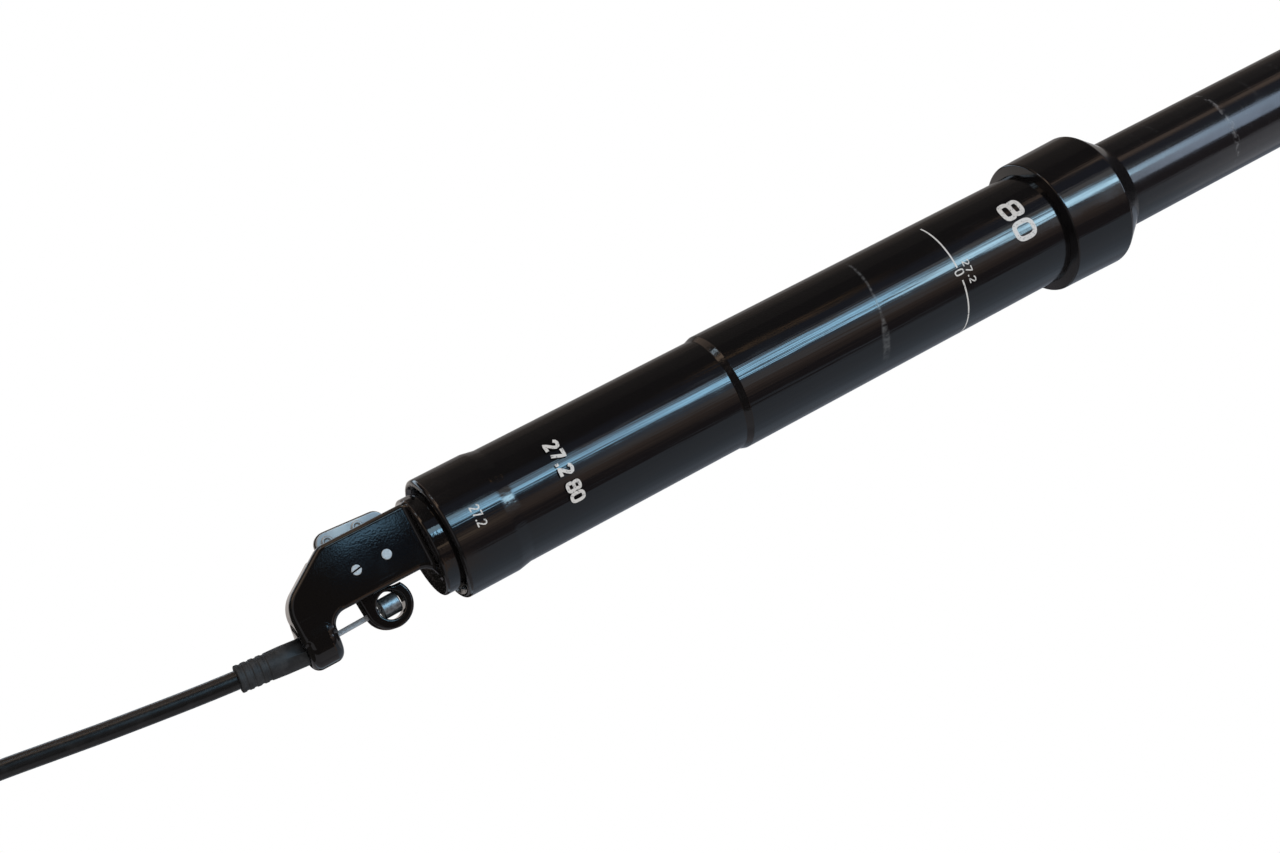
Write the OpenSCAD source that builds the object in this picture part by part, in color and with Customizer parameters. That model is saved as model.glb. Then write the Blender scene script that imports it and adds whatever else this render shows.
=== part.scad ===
/* [Outer tube] */
// Diameter of the length that the seat tube clamps
post_d = 27.2; // [26:0.1:31.6]
// Depth of the relief turned into the middle of the tube
relief_depth = 0.55; // [0.2:0.05:0.8]
// Wall left at the relief
tube_wall = 1.3; // [1.1:0.05:1.4]
// Length of the stretch that the seat tube clamps
clamp_len = 87.4; // [80:0.2:160]
// Length of the relieved middle, tapers included
relief_len = 57.6; // [50:0.2:90]
// Length of the full-size foot
foot_len = 13.8; // [12:0.2:24]
// Length of each taper beside the relief
taper_len = 1.6; // [0.6:0.1:4]
// Rounding of the outer edge at the lower end
rim_round = 1; // [0.4:0.1:1.4]

/* [Collar] */
// Bare tube between the clamped stretch and the collar
collar_low = 2.7; // [0:0.1:6]
// Height that the tube reaches into the collar
thread_len = 11.3; // [8:0.1:14]
// Step from the tube out to the collar
collar_step = 2.5; // [1.5:0.1:4]
// Growth of the collar's radius from bottom to top
collar_flare = 0.35; // [0:0.05:1]
// Height of the collar's straight side
collar_h = 16.3; // [15:0.1:22]
// Height of the collar's cone
cone_h = 6.3; // [5:0.1:12]
// Rounding of the collar's lower edge
collar_round = 2; // [0.5:0.1:2.4]
// Thickness of the wiper seal
wiper_t = 1.7; // [1.3:0.1:2]
// Section of the seal ring between tube and collar
o_ring_d = 1.4; // [1:0.1:1.8]

/* [Stanchion] */
// Diameter of the stanchion
stanchion_d = 21.7; // [21:0.1:22]
// Wall of the stanchion
stanchion_wall = 1.6; // [1.4:0.1:1.9]
// Drop of the saddle
travel = 80; // [60:1:84]
// Stanchion left inside the outer tube at full height
overlap_len = 62; // [58:1:66]
// Stanchion seen above the collar once it is fully down
reserve = 8.7; // [3:0.1:20]
// Length of stanchion held in the head
socket_len = 18; // [14:1:30]
// Length of the lower bushing
low_bush_len = 10; // [6:0.5:12]
// Diameter of a guide key
key_d = 2.4; // [1.8:0.1:2.5]
// Length of a guide key
key_len = 14; // [8:0.5:16]
// Number of guide keys
key_count = 2; // [2:1:4]

/* [Gas cartridge] */
// Diameter of the piston rod
rod_d = 8; // [6:0.1:9]
// Outside diameter of the cartridge tube
cartridge_d = 16.6; // [15:0.1:17.4]
// Wall of the cartridge tube
cartridge_wall = 1; // [0.7:0.1:1.4]
// Height of the piston
piston_h = 8; // [5:0.5:12]
// Height of the seal head that guides the rod
seal_head_h = 13; // [8:0.5:13.5]
// Height of the nut that holds the rod
rod_nut_h = 4; // [3:0.5:6]
// Height of the rubber stop on the rod
bump_h = 4; // [2:0.5:6]
// Diameter of the release pin in the rod
release_d = 3; // [2:0.1:4]

/* [Actuator bracket] */
// Diameter of the flange below the tube
flange_d = 22; // [20:0.1:23]
// Distance that the flange stands out of the tube
flange_out = 3.8; // [2:0.1:8]
// Depth of the flange's shoulder inside the tube
plug_recess = 1.5; // [1:0.1:3]
// Length of the plug in the tube
plug_len = 10.3; // [8:0.1:11]
// Width of the bracket across both cheeks
bracket_w = 11.6; // [11:0.1:12]
// Thickness of the near cheek
near_cheek = 3.2; // [2:0.1:3.4]
// Distance from the post's axis to the back of the near cheek
back_x = 10; // [9.5:0.1:10.4]
// Distance from the post's axis to the front of the cheeks
front_x = 3.3; // [3:0.1:3.6]
// Distance from the flange to the lower pivot pin
low_pin_drop = 14.8; // [14:0.1:16]
// Distance between the pivot pins
pin_gap = 6.9; // [6.7:0.1:7.2]
// Distance of the pivot pins behind the axis
pin_x = 2.2; // [2:0.1:2.6]
// Diameter of the pivot pins
pin_d = 2.2; // [1.6:0.1:2.6]
// Distance from the flange to the bottom of the hook
hook_drop = 30.8; // [29.5:0.1:34]
// Height of the hook's boss
boss_h = 7.2; // [5:0.1:7.6]
// Diameter of the hook's boss
boss_d = 9.2; // [8:0.1:10]
// Distance of the cable in front of the axis
cable_x = 7.4; // [7:0.1:7.8]
// Thickness of the steel guide plate
plate_t = 1; // [0.6:0.1:1.2]
// Diameter of the rivet heads
rivet_d = 2.5; // [2:0.1:3]

/* [Levers] */
// Thickness of both levers
lever_t = 4.8; // [4:0.1:5]
// Outside diameter of the ring for the cable's head
ring_d = 10.1; // [9.6:0.1:10.6]
// Hole of the ring
ring_hole_d = 6.1; // [6:0.1:6.6]
// Distance from the lower pin forward to the ring
ring_arm = 9.1; // [8.8:0.1:9.4]
// Height of the ring above the lower pin
ring_rise = 3.3; // [2.8:0.1:3.8]
// Distance from the lower pin to the driving nose
nose_reach = 3.6; // [3.4:0.05:3.7]
// Radius of the driving nose
nose_r = 1; // [0.8:0.05:1.05]
// Radius of the lobe that lifts the release pin
lobe_r = 2.2; // [1.8:0.1:2.4]

/* [Cable] */
// Diameter of the cable housing
housing_d = 4; // [3.8:0.1:4]
// Diameter of the inner wire
wire_d = 1.2; // [1:0.1:1.6]
// Diameter of the cable's head
head_d = 4.4; // [4:0.1:4.6]
// Length of the cable's head
head_len = 3.8; // [3:0.1:4]
// Diameter of the boot beside the hook
boot_d = 6; // [5.6:0.1:7]
// Length of the boot
boot_len = 14; // [11:0.5:20]
// Turns in each layer of the coil
layer_turns = 2.25; // [1.25:0.5:2.75]
// Layers in the coil
layers = 4; // [2:2:4]
// Distance between neighbouring turns
turn_pitch = 4.6; // [4.5:0.1:5]
// Radius of the coil's outermost turn
coil_r = 27.2; // [24:0.1:32]

/* [Saddle clamp] */
// Diameter of a saddle rail
rail_d = 7; // [7:0.1:8]
// Distance between the rails' centres
rail_gap = 44; // [42:0.5:46]
// Radius of the rocking seat
seat_r = 16; // [15:0.1:17]
// Distance of each bolt from the tilt axis
bolt_x = 21.5; // [21:0.1:24]
// Diameter of the bolts
bolt_d = 5; // [4:0.5:6]
// Diameter of the barrel nuts
nut_d = 10; // [9:0.5:10.5]
// Length of the barrel nuts
nut_len = 13; // [11:0.5:16]
// Most tilt of the saddle either way, in degrees
tilt = 8; // [2:0.5:8]

/* [Hidden] */
$fn = 96;

// Clearances: fixed joint, running fit, free gap and the overrun of a cut
fixed = 0.02;
running = 0.05;
free = 0.3;
cut = 1;

// Radii along the post
post_r = post_d / 2;
thread_r = post_r - 0.4;
relief_r = post_r - relief_depth;
bore_r = relief_r - tube_wall;
stanchion_r = stanchion_d / 2;
stanchion_in = stanchion_r - stanchion_wall;
rod_r = rod_d / 2;
cartridge_r = cartridge_d / 2;
cartridge_in = cartridge_r - cartridge_wall;
release_r = release_d / 2;

// Levels along the post: zero is the top of the clamped stretch
relief_top = -clamp_len;
relief_end = relief_top - relief_len;
tube_end = relief_end - foot_len;
thread_top = collar_low + thread_len;
shoulder_z = thread_top + o_ring_d + 2 * running;
cone_low = collar_low + collar_h;
collar_top = cone_low + cone_h;
stanchion_low = -overlap_len;
head_low = collar_top + travel + reserve;
stanchion_top = head_low + socket_len;
mouth_r = stanchion_r + 0.5;
mouth_edge = 0.45;
wiper_seat_r = stanchion_r + wiper_t + fixed;
wiper_seat_top = cone_low + cone_h * 0.45;
wiper_lip = 0.5;
plug_low = tube_end + plug_recess;
plug_top = plug_low + plug_len;

// Bevel inside the tube's lower end
rim_bevel = 0.7;

// Guide keys lie half in the stanchion and half in grooves of the tube
key_r = key_d / 2;
key_at = stanchion_r + 0.1;
bush_low = stanchion_low + 2;
key_low = bush_low + low_bush_len + 3;
key_top = key_low + key_len;
groove_r = key_r + running;

// Gas cartridge
snap_t = 1;
snap_low = stanchion_low + 1.5;
snap_depth = 0.45;
cartridge_low = snap_low + snap_t + running;
seal_head_top = cartridge_low + 0.6 + seal_head_h;
piston_low = seal_head_top + 3;
rod_top = piston_low + piston_h + 1;
rod_low = plug_low + 1.5;
nut_top = plug_top + rod_nut_h;
cartridge_top = piston_low + piston_h + travel + 42;
plug_flange_h = 6;
spigot_len = 8;

// Actuator bracket
flange_low = tube_end - flange_out;
near_y = -bracket_w / 2;
far_y = bracket_w / 2;
slot_near = near_y + near_cheek;
plate_near = lever_t / 2 + free;
slot_far = plate_near + plate_t;
low_pin = [-pin_x, flange_low - low_pin_drop];
high_pin = low_pin + [0, pin_gap];
hook_low = flange_low - hook_drop;
hook_top = hook_low + boss_h;
hook_arc = 3.2;
neck_arc = 3.4;
slot_top = flange_low - 1;
slot_low = hook_top + 1.6;
envelope_r = post_r - free;
spine_angle = 214.4;
spine_point = [-4.2, hook_low + 2.4];
spine_n = [cos(spine_angle), sin(spine_angle)];
spine_off = spine_n * spine_point;
spine_r_low = 6.4;
spine_r_high = 4;
low_arc = [(spine_off - spine_r_low - spine_n.y * (hook_low + spine_r_low)) / spine_n.x, hook_low + spine_r_low];
high_arc = [spine_r_high - back_x, (spine_off - spine_r_high - spine_n.x * (spine_r_high - back_x)) / spine_n.y];
plate_size = [14.6, 16.2];
plate_round = 2.4;
plate_tilt = -3.7;
plate_proud = 1.8;
plate_edge = 0.25;
plate_mid = [plate_size.x / 2 - back_x - plate_proud, (low_pin.y + high_pin.y) / 2 + 0.2];
rivet_x = -back_x - 0.1;
rivet_head = 0.6;
pivot_r = pin_d / 2 + running;

// Levers: the ring's lever turns on the low pin, the push lever on the high pin
ring_at = low_pin + [ring_arm, ring_rise];
lever_boss_r = 2.3;
lever_turn = 24;
nose_at = low_pin + [0, nose_reach];
lobe_at = high_pin + [pin_x + 0.1, -0.3];
push_boss_r = 2;
tail_x = nose_at.x + nose_r + 0.25;
tail_end = nose_at.y - nose_r - 0.8;
tail_w = 1.7;
tail_room = norm([tail_x + tail_w + pin_x, high_pin.y - tail_end]) + free;
release_low = lobe_at.y + lobe_r + 0.15;
wire_slot = [-104, -50];
wire_slot_w = wire_d + 0.6;

// Cable: the boot leans by cord_lean from the hook, and the wire runs from the head to the ferrule
cord_lean = 5;
ferrule_r = housing_d / 2 + 0.5;
ferrule_up = 3;
ferrule_wall = 2;
ferrule_len = 10;
head_shift = 0.2;
wire_foot = [cable_x + ferrule_up * sin(cord_lean), hook_low + ferrule_up * cos(cord_lean)];
wire_lean = atan2(wire_foot.x - ring_at.x - head_shift, ring_at.y - wire_foot.y);
head_bevel = 0.45;
wire_len = norm(wire_foot - ring_at) + 2.5;
boot_ribs = 4;
boot_gap = boot_d / 2 * sin(cord_lean) + fixed;
rib_step = 1.6;
rib_depth = 0.25;

// Route of the housing from the hook's foot to the coil, as X and Z from the cable's exit
route = [[-0.4, -4.2], [-1.1, -12.6], [-2, -21.6], [-3.2, -31.6], [-4.5, -41.6], [-5.8, -50.6], [-7.1, -59.6],
    [-8.2, -68.6], [-9.1, -76.6], [-9.4, -82.6], [-9.4, -86.6]];
housing_route = [for (p = route) [cable_x + p.x, 0, hook_low + p.y]];
coil_lead = 4;
coil_mid = housing_route[len(route) - 1] - [coil_r, 0, coil_lead];
coil_tail = 10;
coil_steps = 24;
coil_turns = layers * layer_turns;
coil_in = coil_r - layer_turns * turn_pitch;
coil_points = concat(
    [coil_mid + [coil_r, 0, coil_lead]],
    [for (i = [0 : coil_turns * coil_steps]) coil_point(i / coil_steps)],
    [coil_mid + [coil_r, (layers - 1) * turn_pitch, -coil_tail]]);
coil_end_y = (layers - 1) * turn_pitch;
housing_r = housing_d / 2;
tie_w = 8;
tie_wall = 1.2;
tie_room = 0.6;
far_shell = 8;
far_nose = 6;
wire_out = 25;
crimp_len = 8;
crimp_r = wire_d / 2 + 0.4;
far_end_z = coil_mid.z - coil_tail;

// Saddle clamp: the cradle rocks about the rails' level
rail_r = rail_d / 2;
head_r = stanchion_r + 2.4;
seat_low = stanchion_top + 6;
tilt_z = seat_low + seat_r;
wing_low = seat_low - 5;
wing_top = seat_low + 1.5;
wing_end = bolt_x + 6;
head_w = 22;
clamp_gap = 0.4;
cradle_w = rail_gap + 11;
clamp_h = 8;
crown_r = 30;
arm_h = rail_r + 4.5;
ear_r = nut_d / 2 + 2.2;
ear_w = nut_len + 2;
bolt_r = bolt_d / 2;
washer_t = 1;
bolt_head = [bolt_d * 0.85, bolt_d];
bolt_top = tilt_z + nut_d / 2 + 4;
slot_reach = ear_r * sin(tilt) + bolt_x * (1 - cos(tilt)) + free;

function arc(c, r, a0, a1, n = 8) = [for (i = [0 : n]) c + r * [cos(a0 + (a1 - a0) * i / n), sin(a0 + (a1 - a0) * i / n)]];

// Turn count from the nearest place where the spiral starts, ends or reverses
function coil_fold(u) = let (k = floor(u / layer_turns), w = u - k * layer_turns) k % 2 == 0 ? w : layer_turns - w;
// Layer at turn u: each climb takes the half turn around a reversal
function coil_layer(u) = let (k = round(u / layer_turns), w = u - k * layer_turns)
    k < 1 ? 0 : k >= layers ? layers - 1 : k - 0.5 + max(-0.5, min(0.5, 2 * w));
function coil_point(u) = coil_mid + (coil_r - turn_pitch * coil_fold(u)) * [cos(360 * u), 0, -sin(360 * u)]
    + [0, turn_pitch * coil_layer(u), 0];

// Least distance between turns, measured on points at least half a turn apart along the coil
coil_gap = min([for (i = [0 : len(coil_points) - 1]) for (j = [i + coil_steps / 2 : len(coil_points) - 1])
    norm(coil_points[i] - coil_points[j])]) - housing_d;
echo(coil_gap = coil_gap);

// Tube of one piece along points that lie nearly in planes of constant Y
function ring_of(points, i, r, sides) = let (
        a = points[max(i - 1, 0)], b = points[min(i + 1, len(points) - 1)],
        along = [b.x - a.x, 0, b.z - a.z] / norm([b.x - a.x, 0, b.z - a.z]), across = [along.z, 0, -along.x])
    [for (s = [0 : sides - 1]) points[i] + r * (cos(360 * s / sides) * across + sin(360 * s / sides) * [0, 1, 0])];

module swept_tube(points, r, sides) {
    n = len(points);
    rings = [for (i = [0 : n - 1]) each ring_of(points, i, r, sides)];
    walls = [for (i = [0 : n - 2]) for (s = [0 : sides - 1]) let (t = (s + 1) % sides, a = i * sides, b = a + sides)
        each [[a + s, b + s, b + t], [a + s, b + t, a + t]]];
    first = [for (s = [1 : sides - 2]) [0, s, s + 1]];
    last = [for (s = [1 : sides - 2]) let (a = (n - 1) * sides) [a, a + s + 1, a + s]];
    polyhedron(rings, concat(walls, first, last));
}

module tube(r_out, r_in, z0, z1) {
    translate([0, 0, z0]) difference() {
        cylinder(r = r_out, h = z1 - z0);
        translate([0, 0, -cut]) cylinder(r = r_in, h = z1 - z0 + 2 * cut);
    }
}

// Plate between two Y values from an outline drawn in X and Z
module plate(y0, y1) {
    translate([0, y1, 0]) rotate([90, 0, 0]) linear_extrude(y1 - y0) children();
}

// Rod along Y between two Y values
module cross_rod(at, r, y0, y1) {
    translate([at.x, y1, at.y]) rotate([90, 0, 0]) cylinder(r = r, h = y1 - y0);
}

// Places a piece on the boot's line, with the hook's lower face at zero
module on_cord() {
    translate([cable_x, 0, hook_low]) rotate([0, cord_lean, 0]) children();
}

// Places a piece on the wire's line, with the head's centre at zero
module on_wire() {
    translate([ring_at.x + head_shift, 0, ring_at.y]) rotate([0, -wire_lean, 0]) children();
}

module outer_tube() color([0.03, 0.03, 0.035]) difference() {
    rotate_extrude() polygon([[bore_r, tube_end + rim_bevel], [bore_r, thread_top], [thread_r, thread_top],
        [thread_r, collar_low], [post_r, collar_low], [post_r, relief_top], [relief_r, relief_top - taper_len], [relief_r, relief_end + taper_len],
        [post_r, relief_end], each arc([post_r - rim_round, tube_end + rim_round], rim_round, 0, -90),
        [bore_r + rim_bevel, tube_end]]);
    for (k = [0 : key_count - 1]) rotate(90 + 360 * k / key_count) translate([key_at, 0, key_low - travel - free])
        cylinder(r = groove_r, h = key_len + travel + 2 * free, $fn = 32);
}

module collar() color([0.02, 0.02, 0.025]) rotate_extrude() {
    low_r = post_r + collar_step;
    top_r = low_r + collar_flare;
    polygon([[thread_r + fixed, collar_low],
        each arc([low_r - collar_round, collar_low + collar_round], collar_round, -90, 0),
        [top_r, cone_low], [mouth_r + mouth_edge, collar_top], [mouth_r, collar_top],
        [mouth_r, wiper_seat_top], [wiper_seat_r, wiper_seat_top], [wiper_seat_r, shoulder_z],
        [thread_r + fixed, shoulder_z]]);
}

module collar_o_ring() color([0.06, 0.06, 0.06])
    translate([0, 0, thread_top + running]) rotate_extrude()
        translate([thread_r - o_ring_d / 2 - running, o_ring_d / 2]) circle(d = o_ring_d, $fn = 24);

module wiper_seal() color([0.05, 0.05, 0.05]) rotate_extrude()
    polygon([[stanchion_r + running, shoulder_z], [wiper_seat_r - fixed, shoulder_z],
        [wiper_seat_r - fixed, wiper_seat_top - running], [mouth_r - running, wiper_seat_top - running],
        [mouth_r - running, collar_top + wiper_lip / 2], [stanchion_r + running, collar_top + wiper_lip]]);

module upper_bushing() color([0.85, 0.84, 0.78])
    tube(bore_r - fixed, stanchion_r + running, key_top + free, thread_top);

// Outline of both cheeks, the spine and the web behind the hook
module cheek_outline() polygon(concat(
    [[front_x + neck_arc, flange_low + cut]],
    arc([front_x + neck_arc, flange_low - neck_arc], neck_arc, 90, 180),
    arc([front_x + hook_arc, hook_top + hook_arc], hook_arc, 180, 270),
    [[cable_x, hook_top], [cable_x, hook_low]],
    arc(low_arc, spine_r_low, 270, spine_angle),
    arc(high_arc, spine_r_high, spine_angle, 180),
    [[-back_x, flange_low + cut]]));

module plate_outline(grow = 0) translate(plate_mid) rotate(plate_tilt) {
    inner = plate_size - 2 * plate_round * [1, 1];
    square([plate_size.x + 2 * grow, inner.y], center = true);
    square([inner.x, plate_size.y + 2 * grow], center = true);
    for (sx = [-1, 1]) for (sy = [-1, 1])
        translate([sx * inner.x / 2, sy * inner.y / 2]) circle(r = plate_round + grow, $fn = 48);
}

module actuator_bracket() color([0.02, 0.02, 0.022]) difference() {
    intersection() {
        union() {
            translate([0, 0, plug_low]) cylinder(r = bore_r - fixed, h = plug_len);
            translate([0, 0, flange_low]) cylinder(d = flange_d, h = plug_low - flange_low + cut);
            plate(near_y, far_y) cheek_outline();
            plate(slot_far, far_y) plate_outline(plate_edge);
            translate([cable_x, 0, hook_low]) rotate_extrude() {
                edge = 1.2;
                square([boss_d / 2 - edge, boss_h]);
                translate([0, edge]) square([boss_d / 2, boss_h - 2 * edge]);
                for (z = [edge, boss_h - edge]) translate([boss_d / 2 - edge, z]) circle(r = edge, $fn = 32);
            }
        }
        translate([0, 0, hook_low - cut]) cylinder(r = envelope_r, h = plug_top - hook_low + 2 * cut);
    }
    translate([-post_r, slot_near, slot_low]) cube([post_d, slot_far - slot_near, slot_top - slot_low]);
    for (p = [low_pin, high_pin]) cross_rod(p, pin_d / 2 + fixed, near_y - cut, far_y + cut);
    for (z = rivet_levels()) cross_rod([rivet_x, z], rivet_d / 4 + fixed, slot_far - cut, far_y + cut);
    translate([0, 0, rod_low]) cylinder(r = rod_r + fixed, h = plug_top - rod_low + cut);
    translate([0, 0, slot_top - cut]) cylinder(r = release_r + running, h = rod_low - slot_top + 2 * cut);
    on_cord() translate([0, 0, -cut]) cylinder(r = ferrule_r + fixed, h = ferrule_up + cut);
    on_wire() translate([0, 0, -wire_len]) cylinder(r = wire_d / 2 + free, h = wire_len - 4);
}

function rivet_levels() = [low_pin.y - 0.9, high_pin.y - 0.9];

module guide_plate() color([0.72, 0.74, 0.77]) difference() {
    plate(plate_near, slot_far - fixed) intersection() {
        plate_outline();
        translate([-back_x - 4, slot_low + free]) square([back_x + 4 + front_x - free, slot_top - slot_low - 2 * free]);
    }
    for (p = [low_pin, high_pin]) cross_rod(p, pin_d / 2 + fixed, plate_near - cut, slot_far + cut);
    for (z = rivet_levels()) cross_rod([rivet_x, z], rivet_d / 4 + fixed, plate_near - cut, slot_far + cut);
}

module plate_rivets() color([0.75, 0.76, 0.78]) for (z = rivet_levels()) {
    cross_rod([rivet_x, z], rivet_d / 2, plate_near - rivet_head, plate_near);
    cross_rod([rivet_x, z], rivet_d / 4, plate_near - rivet_head, far_y - 0.6);
}

module pivot_pins() color([0.7, 0.71, 0.73]) for (p = [low_pin, high_pin]) cross_rod(p, pin_d / 2, near_y, far_y);

module rod_nut() color([0.6, 0.6, 0.62]) difference() {
    translate([0, 0, plug_top]) cylinder(r = rod_r + 3.5, h = rod_nut_h, $fn = 6);
    translate([0, 0, plug_top - cut]) cylinder(r = rod_r + fixed, h = rod_nut_h + 2 * cut);
}

module bump_stop() color([0.1, 0.1, 0.1]) tube(rod_r + 2.6, rod_r + fixed, nut_top, nut_top + bump_h);

module piston_rod() color([0.75, 0.76, 0.78]) tube(rod_r, release_r + running, rod_low, rod_top);

module piston() color([0.55, 0.56, 0.58]) tube(cartridge_in - running, rod_r + fixed, piston_low, piston_low + piston_h);

module housing_ferrule() color([0.5, 0.5, 0.52]) on_cord() difference() {
    translate([0, 0, ferrule_up - ferrule_len]) cylinder(r = ferrule_r, h = ferrule_len);
    translate([0, 0, ferrule_up - ferrule_len - cut])
        cylinder(r = housing_r + running, h = ferrule_len - ferrule_wall + cut);
    cylinder(r = wire_d / 2 + 2 * free, h = ferrule_up + cut);
}

module cable_boot() color([0.16, 0.16, 0.17]) on_cord() difference() {
    rotate_extrude() {
        neck_r = boot_d / 2 - 0.1;
        smooth = boot_len - boot_ribs * rib_step;
        polygon([[ferrule_r + fixed, -boot_gap], [boot_d / 2, -boot_gap], [boot_d / 2, -smooth * 0.6], [neck_r, -smooth],
            for (k = [0 : boot_ribs - 1]) each [
                [neck_r - rib_depth, -smooth - k * rib_step - 0.2],
                [neck_r - rib_depth, -smooth - k * rib_step - 0.6],
                [neck_r, -smooth - k * rib_step - 0.8],
                [neck_r, -smooth - (k + 1) * rib_step]],
            [housing_r + running, -boot_len], [housing_r + running, ferrule_up - ferrule_len - fixed],
            [ferrule_r + fixed, ferrule_up - ferrule_len - fixed]]);
    }
}

module cable_housing() color([0.03, 0.03, 0.03]) swept_tube(housing_route, housing_r, 8);

module cable_coil() color([0.03, 0.03, 0.03]) swept_tube(coil_points, housing_r, 6);

module coil_tie() color([0.05, 0.05, 0.05]) translate([coil_mid.x, coil_end_y / 2, coil_mid.z]) {
    inner = [coil_r - coil_in + housing_d + 2 * tie_room, coil_end_y + housing_d + 2 * tie_room];
    translate([-tie_w / 2, 0, -(coil_r + coil_in) / 2]) rotate([90, 0, 90]) linear_extrude(tie_w) difference() {
        tie_outline([inner.y, inner.x], tie_wall);
        square([inner.y, inner.x], center = true);
    }
}

// Rectangle grown by a rounded margin
module tie_outline(size, grow) {
    square([size.x + 2 * grow, size.y], center = true);
    square([size.x, size.y + 2 * grow], center = true);
    for (sx = [-1, 1]) for (sy = [-1, 1]) translate([sx * size.x / 2, sy * size.y / 2]) circle(r = grow, $fn = 32);
}

// Places a piece on the far end of the coil, with the housing's end at zero
module on_far_end() {
    translate([coil_mid.x + coil_r, coil_end_y, far_end_z]) children();
}

module far_ferrule() color([0.5, 0.5, 0.52]) on_far_end() difference() {
    union() {
        translate([0, 0, -ferrule_wall]) cylinder(r = ferrule_r, h = far_shell + ferrule_wall);
        translate([0, 0, -far_nose]) cylinder(r = wire_d / 2 + 0.8, h = far_nose);
    }
    cylinder(r = housing_r + running, h = far_shell + cut);
    translate([0, 0, -far_nose - cut]) cylinder(r = wire_d / 2 + running, h = far_nose + 2 * cut);
}

module wire_tail() color([0.7, 0.71, 0.73]) on_far_end()
    translate([0, 0, -far_nose - wire_out]) cylinder(d = wire_d, h = far_nose + wire_out - free);

module crimp_cap() color([0.75, 0.76, 0.78]) on_far_end() difference() {
    translate([0, 0, -far_nose - wire_out - 1]) cylinder(r = crimp_r, h = crimp_len);
    translate([0, 0, -far_nose - wire_out]) cylinder(r = wire_d / 2 + fixed, h = crimp_len);
}

module stanchion() color([0.03, 0.03, 0.035]) difference() {
    tube(stanchion_r, stanchion_in, stanchion_low, stanchion_top);
    tube(stanchion_r + cut, stanchion_r - 0.4, bush_low, bush_low + low_bush_len);
    tube(stanchion_in + snap_depth, stanchion_in - cut, snap_low - fixed, snap_low + snap_t + fixed);
    for (k = [0 : key_count - 1]) rotate(90 + 360 * k / key_count)
        translate([key_at, 0, key_low - fixed]) cylinder(r = key_r + fixed, h = key_len + 2 * fixed, $fn = 32);
}

module guide_keys() color([0.78, 0.62, 0.3]) for (k = [0 : key_count - 1]) rotate(90 + 360 * k / key_count)
    translate([key_at, 0, key_low]) cylinder(r = key_r, h = key_len, $fn = 32);

module lower_bushing() color([0.85, 0.84, 0.78])
    tube(bore_r - running, stanchion_r - 0.4 + fixed, bush_low + fixed, bush_low + low_bush_len - fixed);

module cartridge_tube() color([0.6, 0.62, 0.64]) tube(cartridge_r, cartridge_in, cartridge_low, cartridge_top);

module cartridge_seal_head() color([0.4, 0.42, 0.45])
    tube(cartridge_in - fixed, rod_r + running, seal_head_top - seal_head_h, seal_head_top);

module cartridge_plug() color([0.6, 0.62, 0.64]) {
    translate([0, 0, cartridge_top - spigot_len]) cylinder(r = cartridge_in - fixed, h = spigot_len + cut);
    translate([0, 0, cartridge_top]) cylinder(r = stanchion_in - fixed, h = plug_flange_h);
}

module cartridge_snap_ring() color([0.3, 0.3, 0.32]) difference() {
    tube(stanchion_in + snap_depth - fixed, cartridge_r - 0.9, snap_low, snap_low + snap_t);
    translate([0, -1.5, snap_low - cut]) cube([stanchion_r, 3, snap_t + 2 * cut]);
}

module saddle_head() color([0.03, 0.03, 0.035]) difference() {
    union() {
        translate([0, 0, head_low]) cylinder(r = head_r, h = seat_low - head_low);
        translate([-wing_end, -head_w / 2, wing_low]) cube([2 * wing_end, head_w, wing_top - wing_low]);
        plate(-head_w / 2, head_w / 2) polygon([[-wing_end + 4, wing_low], [-head_r + 1, wing_low - 9],
            [head_r - 1, wing_low - 9], [wing_end - 4, wing_low]]);
        translate([-seat_r * 0.75, -head_w / 2, seat_low]) cube([seat_r * 1.5, head_w, seat_r * 0.34]);
    }
    cross_rod([0, tilt_z], seat_r + running, -cradle_w, cradle_w);
    translate([0, 0, head_low - cut]) cylinder(r = stanchion_r + fixed, h = socket_len + cut);
    for (s = [-1, 1]) translate([s * bolt_x, 0, wing_low - 12]) {
        cylinder(r = bolt_r + fixed, h = 30);
        cylinder(r = bolt_head.x + 1.6, h = 12);
    }
}

module clamp_bolts() color([0.75, 0.76, 0.78]) for (s = [-1, 1]) translate([s * bolt_x, 0, wing_low - washer_t]) {
    cylinder(r = bolt_r, h = bolt_top - wing_low + washer_t);
    difference() {
        translate([0, 0, -bolt_head.y]) cylinder(r = bolt_head.x, h = bolt_head.y);
        translate([0, 0, -bolt_head.y - cut]) cylinder(r = bolt_r * 0.92, h = bolt_head.y / 2 + cut, $fn = 6);
    }
}

module bolt_washers() color([0.6, 0.6, 0.62]) for (s = [-1, 1]) translate([s * bolt_x, 0, 0])
    tube(bolt_head.x + 0.8, bolt_r + fixed, wing_low - washer_t, wing_low);

module rail_grooves() for (s = [-1, 1]) translate([-wing_end - cut, s * rail_gap / 2, tilt_z])
    rotate([0, 90, 0]) cylinder(r = rail_r, h = 2 * (wing_end + cut));

module lower_cradle() color([0.05, 0.05, 0.055]) difference() {
    intersection() {
        cross_rod([0, tilt_z], seat_r, -cradle_w / 2, cradle_w / 2);
        union() {
            translate([-seat_r, -head_w / 2, seat_low - cut]) cube([2 * seat_r, head_w, seat_r - clamp_gap + cut]);
            translate([-seat_r, -cradle_w / 2, tilt_z - arm_h]) cube([2 * seat_r, cradle_w, arm_h - clamp_gap]);
        }
    }
    rail_grooves();
    for (s = [-1, 1]) cross_rod([s * bolt_x, tilt_z], ear_r + free, -ear_w / 2 - free, ear_w / 2 + free);
    translate([-seat_r * 0.55, -head_w / 2 + 3, seat_low + 5]) cube([seat_r * 1.1, head_w - 6, seat_r]);
}

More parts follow.
